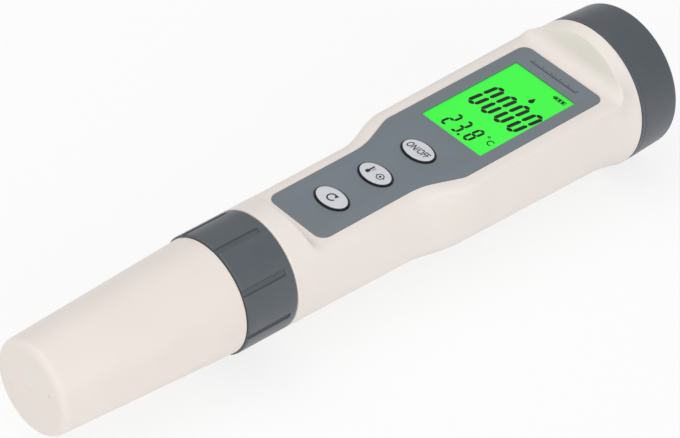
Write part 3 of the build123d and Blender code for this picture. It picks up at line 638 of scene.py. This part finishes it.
stepX = bodyStart + body["boreEnd"]
neckIn = rimX - body["wall"]
gripX, flaredX = np.linspace(stepX, flareX, 8), np.linspace(flareX, headX, 6)[1:]
hollowX = np.concatenate([gripX, flaredX, [neckIn]])[:, None]
hollow = hollowRadius(hollowX, aroundBody[None, :])
hollowRows = np.stack([hollowX + 0 * hollow, hollow * np.cos(aroundBody), hollow * np.sin(aroundBody)], -1)
inside = np.array(
    ringRows([(shellLow[0] - 1, 0), (shellLow[0] - 1, body["bore"]), (stepX, body["bore"])])
    + list(hollowRows)
    + ringRows([(neckIn, body["neckStep"]), (neckIn + 0.01, body["neckStep"]), (rimX, body["neckBore"])])
    + ringRows([(shellHigh[0] + 1, body["neckBore"]), (shellHigh[0] + 1, 0)])
)
hollowCutter = makePiece(
    "hollow", place(inside), gridFaces(len(inside), len(aroundBody)), creamShell, None
)

panel = {
    "start": 0.55,
    "length": 88.2,
    "narrow": 19.2,
    "wide": 27.5,
    "flareStart": 31.5,
    "flareEnd": 42.0,
    "thickness": 0.6,
    "sink": 0.15,
    "corner": 2.6,
    "innerBend": 18.0,
    "outerBend": 7.0,
    "gap": 0.1,
    "lip": 0.22,
}
window = {"start": 50.3, "length": 32.1, "width": 20.7, "ledge": 0.6, "corner": 0.25}
keys = {
    "start": 12.2,
    "pitch": 13.83,
    "length": 9.5,
    "width": 6.3,
    "rise": 0.35,
    "gap": 0.15,
    "ring": (10.3, 7.1),
    "plate": (9.1, 5.9),
    "flange": 1.1,
    "flangeThickness": 0.9,
    "stem": 2.0,
    "stemLength": 1.25,
}
recess = panel["thickness"] + panel["sink"]
keyPlaces = [keys["start"] + keys["pitch"] * count for count in range(3)]


def panelLoop(grow):
    # The panel's outline, grown all round.
    near, far = panel["start"] - grow, panel["start"] + panel["length"] + grow
    narrow, wide = panel["narrow"] / 2 + grow, panel["wide"] / 2 + grow
    half = [(near, -narrow), (panel["flareStart"], -narrow), (panel["flareEnd"], -wide), (far, -wide)]
    corners = half + [(u, -v) for u, v in half[::-1]]
    radii = [panel["corner"] + grow, panel["innerBend"], panel["outerBend"], panel["corner"] + grow]
    return rounded(corners, radii + radii[::-1], 10)


def boxLoop(u0, u1, v0, v1, radius, steps=4):
    return rounded([(u0, v0), (u1, v0), (u1, v1), (u0, v1)], [radius] * 4, steps)


def ovalLoop(u, length, width, count=96):
    # An oval across the tester: length runs across it, width along it.
    t = np.linspace(0, 2 * math.pi, count, endpoint=False)
    return np.stack([u + width / 2 * np.cos(t), length / 2 * np.sin(t)], -1)


def windowLoop(grow, radius):
    low, high = window["start"] - grow, window["start"] + window["length"] + grow
    half = window["width"] / 2 + grow
    return boxLoop(low, high, -half, half, radius)


lip = panel["lip"]
above = 0.8  # how far the cutter stands over the flat
recessLoops = [panelLoop(panel["gap"])] * 2 + [panelLoop(panel["gap"] + 2 * lip)] * 2
recessCutter = stacked("recess", recessLoops, [-recess, -lip, lip, above])
paneGrow = window["ledge"] + panel["gap"]
through = [-body["frontWall"] - 0.6, 0.2]  # levels of a cutter that passes the front wall
paneCutter = stacked("pane_hole", [windowLoop(paneGrow, 0.3)] * 2, through)
keyHole = (keys["length"] + 2 * keys["gap"], keys["width"] + 2 * keys["gap"])
keyCutters = [
    stacked(f"key_hole_{i}", [ovalLoop(u, *keyHole)] * 2, through)
    for i, u in enumerate(keyPlaces)
]
cut(shell, hollowCutter, recessCutter, paneCutter, *keyCutters)
smooth(shell, 32)

print("stage: threads")


def thread(name, radius, start, end, pitch, height, finish, rideOn, slotName):
    # A ridge on a helix: its section is a low trapezium, and both ends run out into the core.
    turns = (end - start) / pitch
    t = np.linspace(0, 1, int(72 * turns))[:, None]
    fade = np.clip(np.minimum(t, 1 - t) * turns * 2.5, 0.02, 1)
    corner = np.array([(-0.32, -0.08), (0.32, -0.08), (0.12, 1.0), (-0.12, 1.0)])[None]
    angle = 2 * math.pi * turns * t
    x = start + (end - start) * t + corner[..., 0] * pitch
    r = radius + corner[..., 1] * height * fade
    points = np.stack([x, r * np.cos(angle), r * np.sin(angle)], -1)
    faces = gridFaces(len(t), 4).tolist() + [[3, 2, 1, 0], [len(t) * 4 - 4 + k for k in range(4)]]
    return makePiece(name, place(points), faces, finish, rideOn)


threads = {  # core radius, start, end and pitch
    "nose_thread": (core, shellLow[0] + 1.0, bodyStart - 1.6, 1.5),
    "neck_thread": (neckCore, sealX + 1.6, shellHigh[0] - 0.9, 2.0),
}
for name, sizes in threads.items():
    thread(name, *sizes, body["threadDepth"], creamShell, "body", "cream_plastic")

print("stage: protective cap")

cap = {
    "tip": 12.1,
    "mouth": 14.65,
    "wall": 1.5,
    "tipWall": 2.2,
    "tipRound": 1.9,
    "socket": 13.1,
    "socketDepth": 7.5,
}
dimples = {"pitch": 7.6, "turn": math.radians(-24), "radius": 0.5, "depth": 0.3}
socketX = capHigh[0] - cap["socketDepth"]
slope = (cap["mouth"] - cap["tip"]) / (capHigh[0] - capLow[0])
innerTip = cap["tip"] + slope * cap["tipWall"] - cap["wall"]
innerEnd = cap["tip"] + slope * (socketX - capLow[0]) - cap["wall"]
capProfile = rounded(
    [
        (capLow[0], 0),
        (capLow[0], cap["tip"]),
        (capHigh[0], cap["mouth"]),
        (capHigh[0], cap["socket"]),
        (socketX, cap["socket"]),
        (socketX, innerEnd),
        (capLow[0] + cap["tipWall"], innerTip),
        (capLow[0] + cap["tipWall"], 0),
    ],
    [0, cap["tipRound"], 0.3, 0.2, 0.1, 0.1, cap["tipRound"] - 0.3, 0],
    12,
)
capPiece = turned(
    "cap_moulding", capProfile, creamCap, "tip_cap", ("protective_cap",), 224
)


def dimple(name, y, z):
    # A small bead that presses one dimple: a half sphere with a short neck, on the cap's end.
    t = np.linspace(0, math.pi / 2, 7)
    x = np.concatenate([[capLow[0] - 0.5, capLow[0] - 0.5], capLow[0] + dimples["depth"] * np.sin(t)])
    r = np.concatenate([[0, dimples["radius"]], dimples["radius"] * np.cos(t)])
    a = np.linspace(0, 2 * math.pi, 24, endpoint=False)[None]
    points = np.stack([x[:, None] + 0 * a, y + r[:, None] * np.cos(a), z + r[:, None] * np.sin(a)], -1)
    return makePiece(name, place(points), gridFaces(len(x), 24), creamCap, None)


across, up = dimples["pitch"] * math.cos(dimples["turn"]), dimples["pitch"] * math.sin(dimples["turn"])
spots = [(0, 0), (across, up), (-across, -up)]
cut(capPiece, *[dimple(f"dimple_{i}", y, z) for i, (y, z) in enumerate(spots)])
smooth(capPiece, 40)

print("stage: locking collar")

collar = {
    "radius": 15.15,
    "edge": 0.35,
    "bore": 10.5,
    "lip": 3.0,
    "spigot": 6.9,
    "fit": 0.08,
    "sealHalf": 0.65,
    "sealDepth": 1.1,
    "grooves": 8,
    "grooveWidth": 1.5,
    "grooveDepth": 0.55,
    "grooveLength": 12.9,
    "wallShare": 0.16,
    "turn": math.radians(9.5),
}
collarX = collarLow[0] + collar["spigot"]
spigotRadius = cap["socket"] - collar["fit"]
sealMiddle = collarX - collar["spigot"] / 2
sealSides = (sealMiddle - collar["sealHalf"], sealMiddle + collar["sealHalf"])
lipX = collarX + collar["lip"]
threadBore = body["noseRadius"] + collar["fit"]
grooveEnd = collarX + collar["grooveLength"]
straight = np.stack([np.linspace(collarX + 1.0, grooveEnd - 1.2, 6), np.full(6, collar["radius"])], -1)
stepIn = np.stack([np.linspace(grooveEnd - 0.9, grooveEnd + 0.5, 15), np.full(15, collar["radius"])], -1)
front = rounded(
    [
        (collarLow[0], collar["bore"]),
        (collarLow[0], spigotRadius),
        (sealSides[0], spigotRadius),
        (sealSides[0], spigotRadius - collar["sealDepth"]),
        (sealSides[1], spigotRadius - collar["sealDepth"]),
        (sealSides[1], spigotRadius),
        (collarX, spigotRadius),
        (collarX, collar["radius"]),
        (collarHigh[0], collar["radius"]),
        (collarHigh[0], threadBore),
        (lipX, threadBore),
        (lipX, collar["bore"]),
    ],
    [0.2, collar["edge"]] + [0.05] * 5 + [collar["edge"]] * 2 + [0.2, 0.1, 0.2],
    5,
)
cornerIndex = int(np.argmax((front[:, 0] > collarX) & (front[:, 1] >= collar["radius"] - 1e-9)))
collarProfile = np.concatenate([front[: cornerIndex + 1], straight, stepIn, front[cornerIndex + 1 :]])


def grooved(x, radius, angle):
    # Eight straight grooves with near-upright walls, open towards the cap and stopped before the other
    # edge.
    period = 2 * math.pi / collar["grooves"]
    off = (angle - collar["turn"] + period / 2) % period - period / 2
    wall = collar["wallShare"] * collar["grooveWidth"]
    inside = np.abs(off) * collar["radius"] - (collar["grooveWidth"] - wall) / 2
    inGroove = 1 - ease(inside / wall)
    along = 1 - ease((x - grooveEnd + 0.25) / 0.3)
    outer = ease((radius - spigotRadius - 0.6) / 0.3)
    floor = collar["radius"] - collar["grooveDepth"]
    pressed = np.minimum(radius, floor)
    return radius - (radius - pressed) * inGroove * along * outer


period = 360 / collar["grooves"]
spread = [(-period / 2, -4.2, 12), (-4.2, -1.4, 12), (-1.4, 1.4, 5), (1.4, 4.2, 12), (4.2, period / 2, 12)]
offsets = np.concatenate([np.linspace(low, high, count, endpoint=False) for low, high, count in spread])
grooveTurns = np.arange(collar["grooves"])[:, None] * period + offsets[None]
turned(
    "collar_moulding",
    collarProfile,
    slatePlastic,
    "collar",
    ("locking_collar",),
    pressed=grooved,
    angles=np.radians(grooveTurns.ravel()) + collar["turn"],
    sharp=28,
)

print("stage: battery cap")

endCap = {
    "rim": 19.5,
    "end": 18.95,
    "wall": 1.8,
    "round": 1.3,
    "lineAt": 1.1,
    "line": 0.16,
    "dish": 0.35,
    "dishRadius": 15.0,
    "fit": 0.08,
    "draft": 0.05,
    "bossBore": 1.6,
    "bossRadius": 4.2,
}
bore = body["neckRadius"] + endCap["fit"]
floorX = endHigh[0] - endCap["wall"]
lineRadius = endCap["rim"] - endCap["draft"]
bossX = span("cap_rivet")[0][0] + 1.0
lineX = endLow[0] + endCap["lineAt"]
endProfile = rounded(
    [
        (endLow[0], bore),
        (endLow[0], endCap["rim"]),
        (lineX, lineRadius),
        (lineX + endCap["line"], lineRadius - endCap["line"]),
        (lineX + 2 * endCap["line"], lineRadius),
        (endHigh[0], endCap["end"]),
        (endHigh[0], endCap["dishRadius"]),
        (endHigh[0] - endCap["dish"], endCap["dishRadius"] - 0.6),
        (endHigh[0] - endCap["dish"], 0),
        (floorX, 0),
        (floorX, bore),
    ],
    [0.2, 0.3, 0.04, 0.02, 0.04, endCap["round"], 0.3, 0.3, 0, 0, 0.6],
    8,
)
turned(
    "battery_cap_moulding", endProfile, slateEnd, "battery_end", ("battery_cap",), 224
)
bossEnd = floorX + 0.1
boss = [(bossX, endCap["bossBore"]), (bossX, endCap["bossRadius"])]
boss = np.array(boss + [(bossEnd, endCap["bossRadius"]), (bossEnd, endCap["bossBore"])])
turned("battery_cap_boss", boss, slateEnd, "battery_end", count=64)

print("stage: panel, keys and display")


def sheetPiece(name, loops, low, high, bevel, finish, rideOn, replaced=()):
    # A thin plate on the flat: the first loop is its outline, and the others are holes or islands in it.
    curve = bpy.data.curves.new(name, "CURVE")
    curve.dimensions = "2D"
    curve.fill_mode = "BOTH"
    curve.extrude = (high - low) / 2 - bevel
    curve.bevel_depth = bevel
    curve.bevel_resolution = 2
    for loop in loops:
        spline = curve.splines.new("POLY")
        spline.points.add(len(loop) - 1)
        flatPoints = np.concatenate([loop, np.zeros((len(loop), 1)), np.ones((len(loop), 1))], 1)
        spline.points.foreach_set("co", flatPoints.ravel())
        spline.use_cyclic_u = True
    holder = bpy.data.objects.new(name + "_line", curve)
    scene.collection.objects.link(holder)
    bpy.context.view_layer.update()
    mesh = bpy.data.meshes.new_from_object(holder.evaluated_get(bpy.context.evaluated_depsgraph_get()))
    bpy.data.objects.remove(holder)
    points = np.zeros(len(mesh.vertices) * 3)
    mesh.vertices.foreach_get("co", points)
    points = points.reshape(-1, 3)
    faces = [list(p.vertices) for p in mesh.polygons]
    points = place(onFlat(points[:, 0], points[:, 1], (low + high) / 2 + points[:, 2]))
    return makePiece(name, points, faces, finish, rideOn, replaced)


panelLoops = [panelLoop(0), windowLoop(0, window["corner"])] + [ovalLoop(u, *keyHole) for u in keyPlaces]
sheetPiece(
    "printed_panel",
    panelLoops,
    -recess,
    -panel["sink"],
    0.06,
    panelFilm,
    "body",
    ("front_panel",),
)

print("stage: key parts")


def ovalKey(name, u, rows, finish, rideOn, replaced=()):
    # An oval turned form: rows are (inset from the key's edge, height over the flat).
    t = np.linspace(0, 2 * math.pi, 96, endpoint=False)[None]
    rows = np.array(rows, float)
    a = np.maximum(keys["width"] / 2 - rows[:, 0], 0)[:, None]
    # the rows near the middle shrink both ways alike, so that they close there
    stretch = np.where(rows[:, 0] > 3, keys["length"] / keys["width"], 1)
    b = np.maximum(keys["length"] / 2 - rows[:, 0] * stretch, 0)[:, None]
    points = onFlat(u + a * np.cos(t), b * np.sin(t), rows[:, 1][:, None] + 0 * t)
    return makePiece(
        name, place(points), gridFaces(len(rows), t.shape[1]), finish, rideOn, replaced, 40
    )


flangeTop = -body["frontWall"] - 0.05
flangeLow = flangeTop - keys["flangeThickness"]
keyNames = ("mode", "calibration", "power")
half, rise = keys["width"] / 2, keys["rise"]
quarter = np.linspace(0, math.pi / 2, 6)
for which, u in zip(keyNames, keyPlaces):
    shoulder = [(0.3 * (1 - math.cos(t)), rise - 0.32 + 0.24 * math.sin(t)) for t in quarter]
    ovalKey(
        "key_" + which + "_body",
        u,
        [(half, flangeLow), (-keys["flange"], flangeLow), (-keys["flange"], flangeTop), (0, flangeTop)]
        + shoulder
        + [(half, rise - 0.08)],
        blackPlastic,
        which + "_key",
        ("key_" + which,),
    )
    inset = (keys["length"] - keys["plate"][0]) / 2
    dome = [(inset + 0.1 * (1 - math.cos(t)), rise - 0.11 + 0.08 * math.sin(t)) for t in quarter]
    shares = np.linspace(0.1, 1, 8)
    crownRows = [(inset + 0.1 + s * (half - inset - 0.1), rise - 0.03 * (1 - s) ** 2) for s in shares]
    ovalKey(
        "key_" + which + "_plate",
        u,
        [(half, rise - 0.2), (inset, rise - 0.2)] + dome + crownRows,
        keySilver,
        which + "_key",
    )
    stemLoop = ovalLoop(u, 2 * keys["stem"], 2 * keys["stem"], 40)
    stemLevels = [flangeLow - keys["stemLength"], flangeLow + 0.05]
    stacked(
        "key_" + which + "_stem", [stemLoop] * 2, stemLevels, blackPlastic, which + "_key"
    )
    sheetPiece(
        "key_" + which + "_ring",
        [ovalLoop(u, *keys["ring"]), ovalLoop(u, *keyHole)],
        -panel["sink"] - 0.01,
        -panel["sink"] + 0.03,
        0.01,
        blackInk,
        "body",
    )

paneFront = -recess - 0.05
stacked(
    "display_pane",
    [windowLoop(window["ledge"], 0.3)] * 3 + [windowLoop(window["ledge"] - 0.05, 0.3)],
    [-body["frontWall"], -body["frontWall"] + panel["thickness"], paneFront - 0.05, paneFront],
    litGreen,
    "body",
    ("display_window",),
)

print("stage: figures and marks")

digits = {"0": "abcdef", "2": "abged", "3": "abgcd", "8": "abcdefg"}
largeFigure = {"bottom": 62.7, "width": 3.3, "height": 10.2, "thick": 1.12, "slant": 1.2}
smallFigure = {"bottom": 52.1, "width": 2.3, "height": 5.9, "thick": 0.74, "slant": 0.7}
largeRow = {"left": 8.0, "pitch": 4.45, "count": 4}


def segmentLoops(letters, left, bottom, width, height, thick, slant):
    # Bars of a seven-bar figure: each is a long hexagon, leaning by slant over the figure's height.
    gap, t = thick * 0.08, thick / 2
    corners = {
        "a": ((0, 1), (1, 1)),
        "b": ((1, 1), (1, 0.5)),
        "c": ((1, 0.5), (1, 0)),
        "d": ((0, 0), (1, 0)),
    }
    corners |= {"e": ((0, 0.5), (0, 0)), "f": ((0, 1), (0, 0.5)), "g": ((0, 0.5), (1, 0.5))}
    loops = []
    for letter in letters:
        ends = np.array(corners[letter]) * (width - thick, height - thick) + (t, t)
        way = (ends[1] - ends[0]) / np.linalg.norm(ends[1] - ends[0])
        side = np.array([-way[1], way[0]])
        a, b = ends[0] + way * gap, ends[1] - way * gap
        onward, backward = (way + side) * t, (side - way) * t
        bar = np.array([a, a + onward, b + backward, b, b - onward, a - backward])
        right = left - bar[:, 0] - slant * bar[:, 1] / height
        loops.append(np.stack([bottom + bar[:, 1], right], -1))
    return loops


inkLow, inkHigh = paneFront - 0.01, paneFront + 0.03


def barPiece(name, loops, low, high, finish, rideOn="body"):
    # Many small flat prisms, one for each loop, in one mesh.
    points, faces, first = [], [], 0
    for loop in loops:
        count = len(loop)
        for level in (low, high):
            points.append(onFlat(loop[:, 0], loop[:, 1], level))
        faces += (gridFaces(2, count) + first).tolist()
        faces += [[first + k for k in range(count)][::-1], [first + count + k for k in range(count)]]
        first += 2 * count
    return makePiece(name, place(np.concatenate(points)), faces, finish, rideOn)


bigFigures = []
for count in range(largeRow["count"]):
    bigFigures += segmentLoops(digits["0"], largeRow["left"] - largeRow["pitch"] * count, **largeFigure)
barPiece("large_figures", bigFigures, inkLow, inkHigh, displayInk)
smallFigures = []
for figure, left in (("2", 5.9), ("3", 2.4), ("8", -1.75)):
    smallFigures += segmentLoops(digits[figure], left, **smallFigure)
smallFigures.append(boxLoop(52.0, 52.7, -1.0, -0.3, 0.1))
barPiece("small_figures", smallFigures, inkLow, inkHigh, displayInk)


def arcLoop(u, v, outer, inner, start, end, steps=20):
    # A ring sector round (u, v), from start to end degrees, measured from the display's right.
    t = np.radians(np.linspace(start, end, steps))
    outside = np.stack([u + outer * np.sin(t), v - outer * np.cos(t)], -1)
    within = np.stack([u + inner * np.sin(t), v - inner * np.cos(t)], -1)
    return np.concatenate([outside, within[::-1]])


rounds = {  # along, across, outer and inner radius, first and last degree
    "degree": (57.4, -6.15, 0.42, 0.2, 0, 350),
    "letter": (56.1, -8.0, 1.0, 0.68, 50, 310),
}
roundLoops = [arcLoop(*sizes) for sizes in rounds.values()]
barPiece("degree_mark", roundLoops, inkLow, inkHigh, displayInk)


def dropLoop(u, v, size, steps=40):
    # A water drop: a round that runs up to a point, where the radius follows a power of the turn.
    t = np.linspace(0, 2 * math.pi, steps, endpoint=False)
    across = np.sin(t) * np.sin(t / 2) ** 1.6
    return np.stack([u + size * 0.62 * np.cos(t), v - size * 0.55 * across], -1)


drop = {"u": 75.3, "v": -2.6, "size": 1.9}
barPiece("drop_mark", [dropLoop(**drop)], inkLow, inkHigh, displayInk)
cell = {"low": 79.9, "high": 81.2, "right": -8.6, "left": -5.0, "line": 0.15, "bar": 0.8, "pitch": 1.1}
low, high = cell["low"] + cell["line"], cell["high"] - cell["line"]
cellLoops = [
    boxLoop(cell["low"], low, cell["right"], cell["left"], 0.03),
    boxLoop(high, cell["high"], cell["right"], cell["left"], 0.03),
    boxLoop(low, high, cell["right"], cell["right"] + cell["line"], 0.03),
    boxLoop(low, high, cell["left"] - cell["line"], cell["left"], 0.03),
    boxLoop(cell["low"] + 0.35, cell["high"] - 0.35, cell["left"] + 0.05, cell["left"] + 0.4, 0.05),
]
for k in range(3):
    barLeft = cell["left"] - 0.2 - cell["pitch"] * k
    cellLoops.append(boxLoop(low + 0.1, high - 0.1, barLeft - cell["bar"], barLeft, 0.05))
barPiece("cell_mark", cellLoops, inkLow, inkHigh, displayInk)

ticks = {"start": 85.0, "short": 0.55, "long": 1.15, "from": 8.1, "to": -7.5, "count": 27, "width": 0.17}
tickStart = ticks["start"]
tickLoops = [boxLoop(tickStart - 0.1, tickStart + 0.05, ticks["to"] - 0.1, ticks["from"] + 0.1, 0.03, 2)]
for k, v in enumerate(np.linspace(ticks["from"], ticks["to"], ticks["count"])):
    length = ticks["long"] if k % 5 == 1 else ticks["short"]
    tickLoops.append(
        boxLoop(tickStart, tickStart + length, v - ticks["width"] / 2, v + ticks["width"] / 2, 0.03, 2)
    )
barPiece("scale_marks", tickLoops, -panel["sink"] - 0.01, -panel["sink"] + 0.02, blackInk)

print("stage: key legends")

plateTop = keys["rise"]


def words(name, text, u, v, width, height, lean, rideOn):
    # Plain lettering as a thin plate, read from the display's foot, with v growing to its left.
    curve = bpy.data.curves.new(name, "FONT")
    curve.body = text
    curve.shear = lean
    curve.offset = 0.012
    curve.extrude = 0.05
    holder = bpy.data.objects.new(name + "_line", curve)
    scene.collection.objects.link(holder)
    bpy.context.view_layer.update()
    mesh = bpy.data.meshes.new_from_object(holder.evaluated_get(bpy.context.evaluated_depsgraph_get()))
    bpy.data.objects.remove(holder)
    points = np.zeros(len(mesh.vertices) * 3)
    mesh.vertices.foreach_get("co", points)
    points = points.reshape(-1, 3)
    low, high = points.min(0), points.max(0)
    share = (points - low) / (high - low)
    level = plateTop - 0.03 + 0.05 * share[:, 2]
    placed = onFlat(u + (share[:, 1] - 0.5) * height, v - (share[:, 0] - 0.5) * width, level)
    return makePiece(
        name, place(placed), [list(p.vertices) for p in mesh.polygons], blackInk, rideOn
    )


powerWords = {"u": keyPlaces[2], "v": 0, "width": 7.0, "height": 2.0, "lean": 0.25, "rideOn": "power_key"}
words("power_words", "ON/OFF", **powerWords)


def legend(name, loops, rideOn):
    return barPiece(name, loops, plateTop - 0.03, plateTop + 0.02, blackInk, rideOn)


# a round arrow on the mode key
u = keyPlaces[0]
arrow = {"outer": 1.35, "inner": 0.95, "start": 75, "end": 345, "steps": 30}
tip = np.array([(u + 1.35, -1.15), (u + 0.2, -0.75), (u + 1.25, 0.05)])
legend("mode_mark", [arcLoop(u, 0, **arrow), tip], "mode_key")

# a thermometer beside a target on the calibration key
u = keyPlaces[1]
glassV, targetV = 1.9, -1.6
bulbLoop = arcLoop(u - 0.75, glassV, 0.62, 0.02, 0, 350, 24)
stemBar = boxLoop(u - 0.5, u + 1.5, glassV - 0.25, glassV + 0.25, 0.2)
scaleBars = [boxLoop(u + 0.1 + 0.45 * k, u + 0.25 + 0.45 * k, 0.95, 1.45, 0.03) for k in range(3)]
target = [arcLoop(u, targetV, 1.05, 0.8, 0, 350, 30), arcLoop(u, targetV, 0.35, 0.02, 0, 350, 20)]
cross = [boxLoop(u - 0.1, u + 0.1, targetV + s - 0.3, targetV + s + 0.3, 0.03) for s in (-1.1, 1.1)]
legend("calibration_mark", [bulbLoop, stemBar] + scaleBars + target + cross, "calibration_key")

print("stage: floor, light and camera")

studio = {
    "floorSize": 6.0,
    "floorColour": linear(250, 250, 250),
    "floorGlow": 0.8,
    "world": 0.5,
    "camera": (-0.46778, -0.46404, 0.57643),
    "azimuth": math.radians(-45.15),
    "elevation": math.radians(40.16),
    "roll": math.radians(4.87),
    "lens": 193.71,
    "sensor": 36.0,
}
half = studio["floorSize"] / 2
floorMesh = bpy.data.meshes.new("floor")
floorMesh.from_pydata(
    [(-half, -half, 0), (half, -half, 0), (half, half, 0), (-half, half, 0)], [], [(0, 1, 2, 3)]
)
floor = bpy.data.objects.new("floor", floorMesh)
scene.collection.objects.link(floor)
floorMaterial = bpy.data.materials.new("pale_floor")
floorMaterial.use_nodes = True
tree = floorMaterial.node_tree
tree.nodes.clear()
wire = Wire(tree)
paper = wire.node("BsdfDiffuse", {}, {"Color": studio["floorColour"]})
glow = wire.node("Emission", {}, {"Color": (1, 1, 1, 1), "Strength": 1.0})
seen = wire.node("LightPath", out=0)
shiny = wire.node("LightPath", out=3)
refracted = wire.node("LightPath", out=6)
mirrored = wire.sum("MAXIMUM", shiny, refracted)
direct = wire.sum("MAXIMUM", seen, mirrored)
blend = wire.node("MixShader", {}, {0: direct * studio["floorGlow"], 1: paper, 2: glow})
output = tree.nodes.new("ShaderNodeOutputMaterial")
tree.links.new(blend.socket, output.inputs[0])
floorMesh.materials.append(floorMaterial)

world = bpy.data.worlds.new("studio")
scene.world = world
world.use_nodes = True
tree = world.node_tree
tree.nodes.clear()
wire = Wire(tree)
soft = wire.node("Background", {}, {"Color": (1, 1, 1, 1), "Strength": studio["world"]})
white = wire.node("Background", {}, {"Color": (1, 1, 1, 1), "Strength": 1.0})
blend = wire.node("MixShader", {}, {0: wire.node("LightPath", out=0), 1: soft, 2: white})
output = tree.nodes.new("ShaderNodeOutputWorld")
tree.links.new(blend.socket, output.inputs[0])

lamps = {
    "top_soft": {"from": (-0.25, 0.25, 0.9), "size": (0.9, 0.9), "watts": 3.4},
    "front_soft": {"from": (-0.1, -0.9, 0.45), "size": (1.0, 0.5), "watts": 3.0},
    "tip_soft": {"from": (-0.9, -0.2, 0.4), "size": (0.5, 0.5), "watts": 1.1},
}
for name, lamp in lamps.items():
    data = bpy.data.lights.new(name, "AREA")
    data.shape = "RECTANGLE"
    data.size, data.size_y = lamp["size"]
    data.energy = lamp["watts"]
    light = bpy.data.objects.new(name, data)
    scene.collection.objects.link(light)
    light.location = lamp["from"]
    light.rotation_euler = Vector(lamp["from"]).to_track_quat("Z", "Y").to_euler()

cameraData = bpy.data.cameras.new("camera")
camera = bpy.data.objects.new("camera", cameraData)
scene.collection.objects.link(camera)
scene.camera = camera
cameraData.lens = studio["lens"]
cameraData.sensor_width = studio["sensor"]
cameraData.clip_start, cameraData.clip_end = 0.01, 20
a, e = studio["azimuth"], studio["elevation"]
back = Vector((math.sin(a) * math.cos(e), -math.cos(a) * math.cos(e), math.sin(e)))
camera.location = studio["camera"]
camera.rotation_mode = "QUATERNION"
camera.rotation_quaternion = back.to_track_quat("Z", "Y") @ Quaternion((0, 0, 1), studio["roll"])
scene.view_settings.view_transform = "Standard"

print("stage: done")
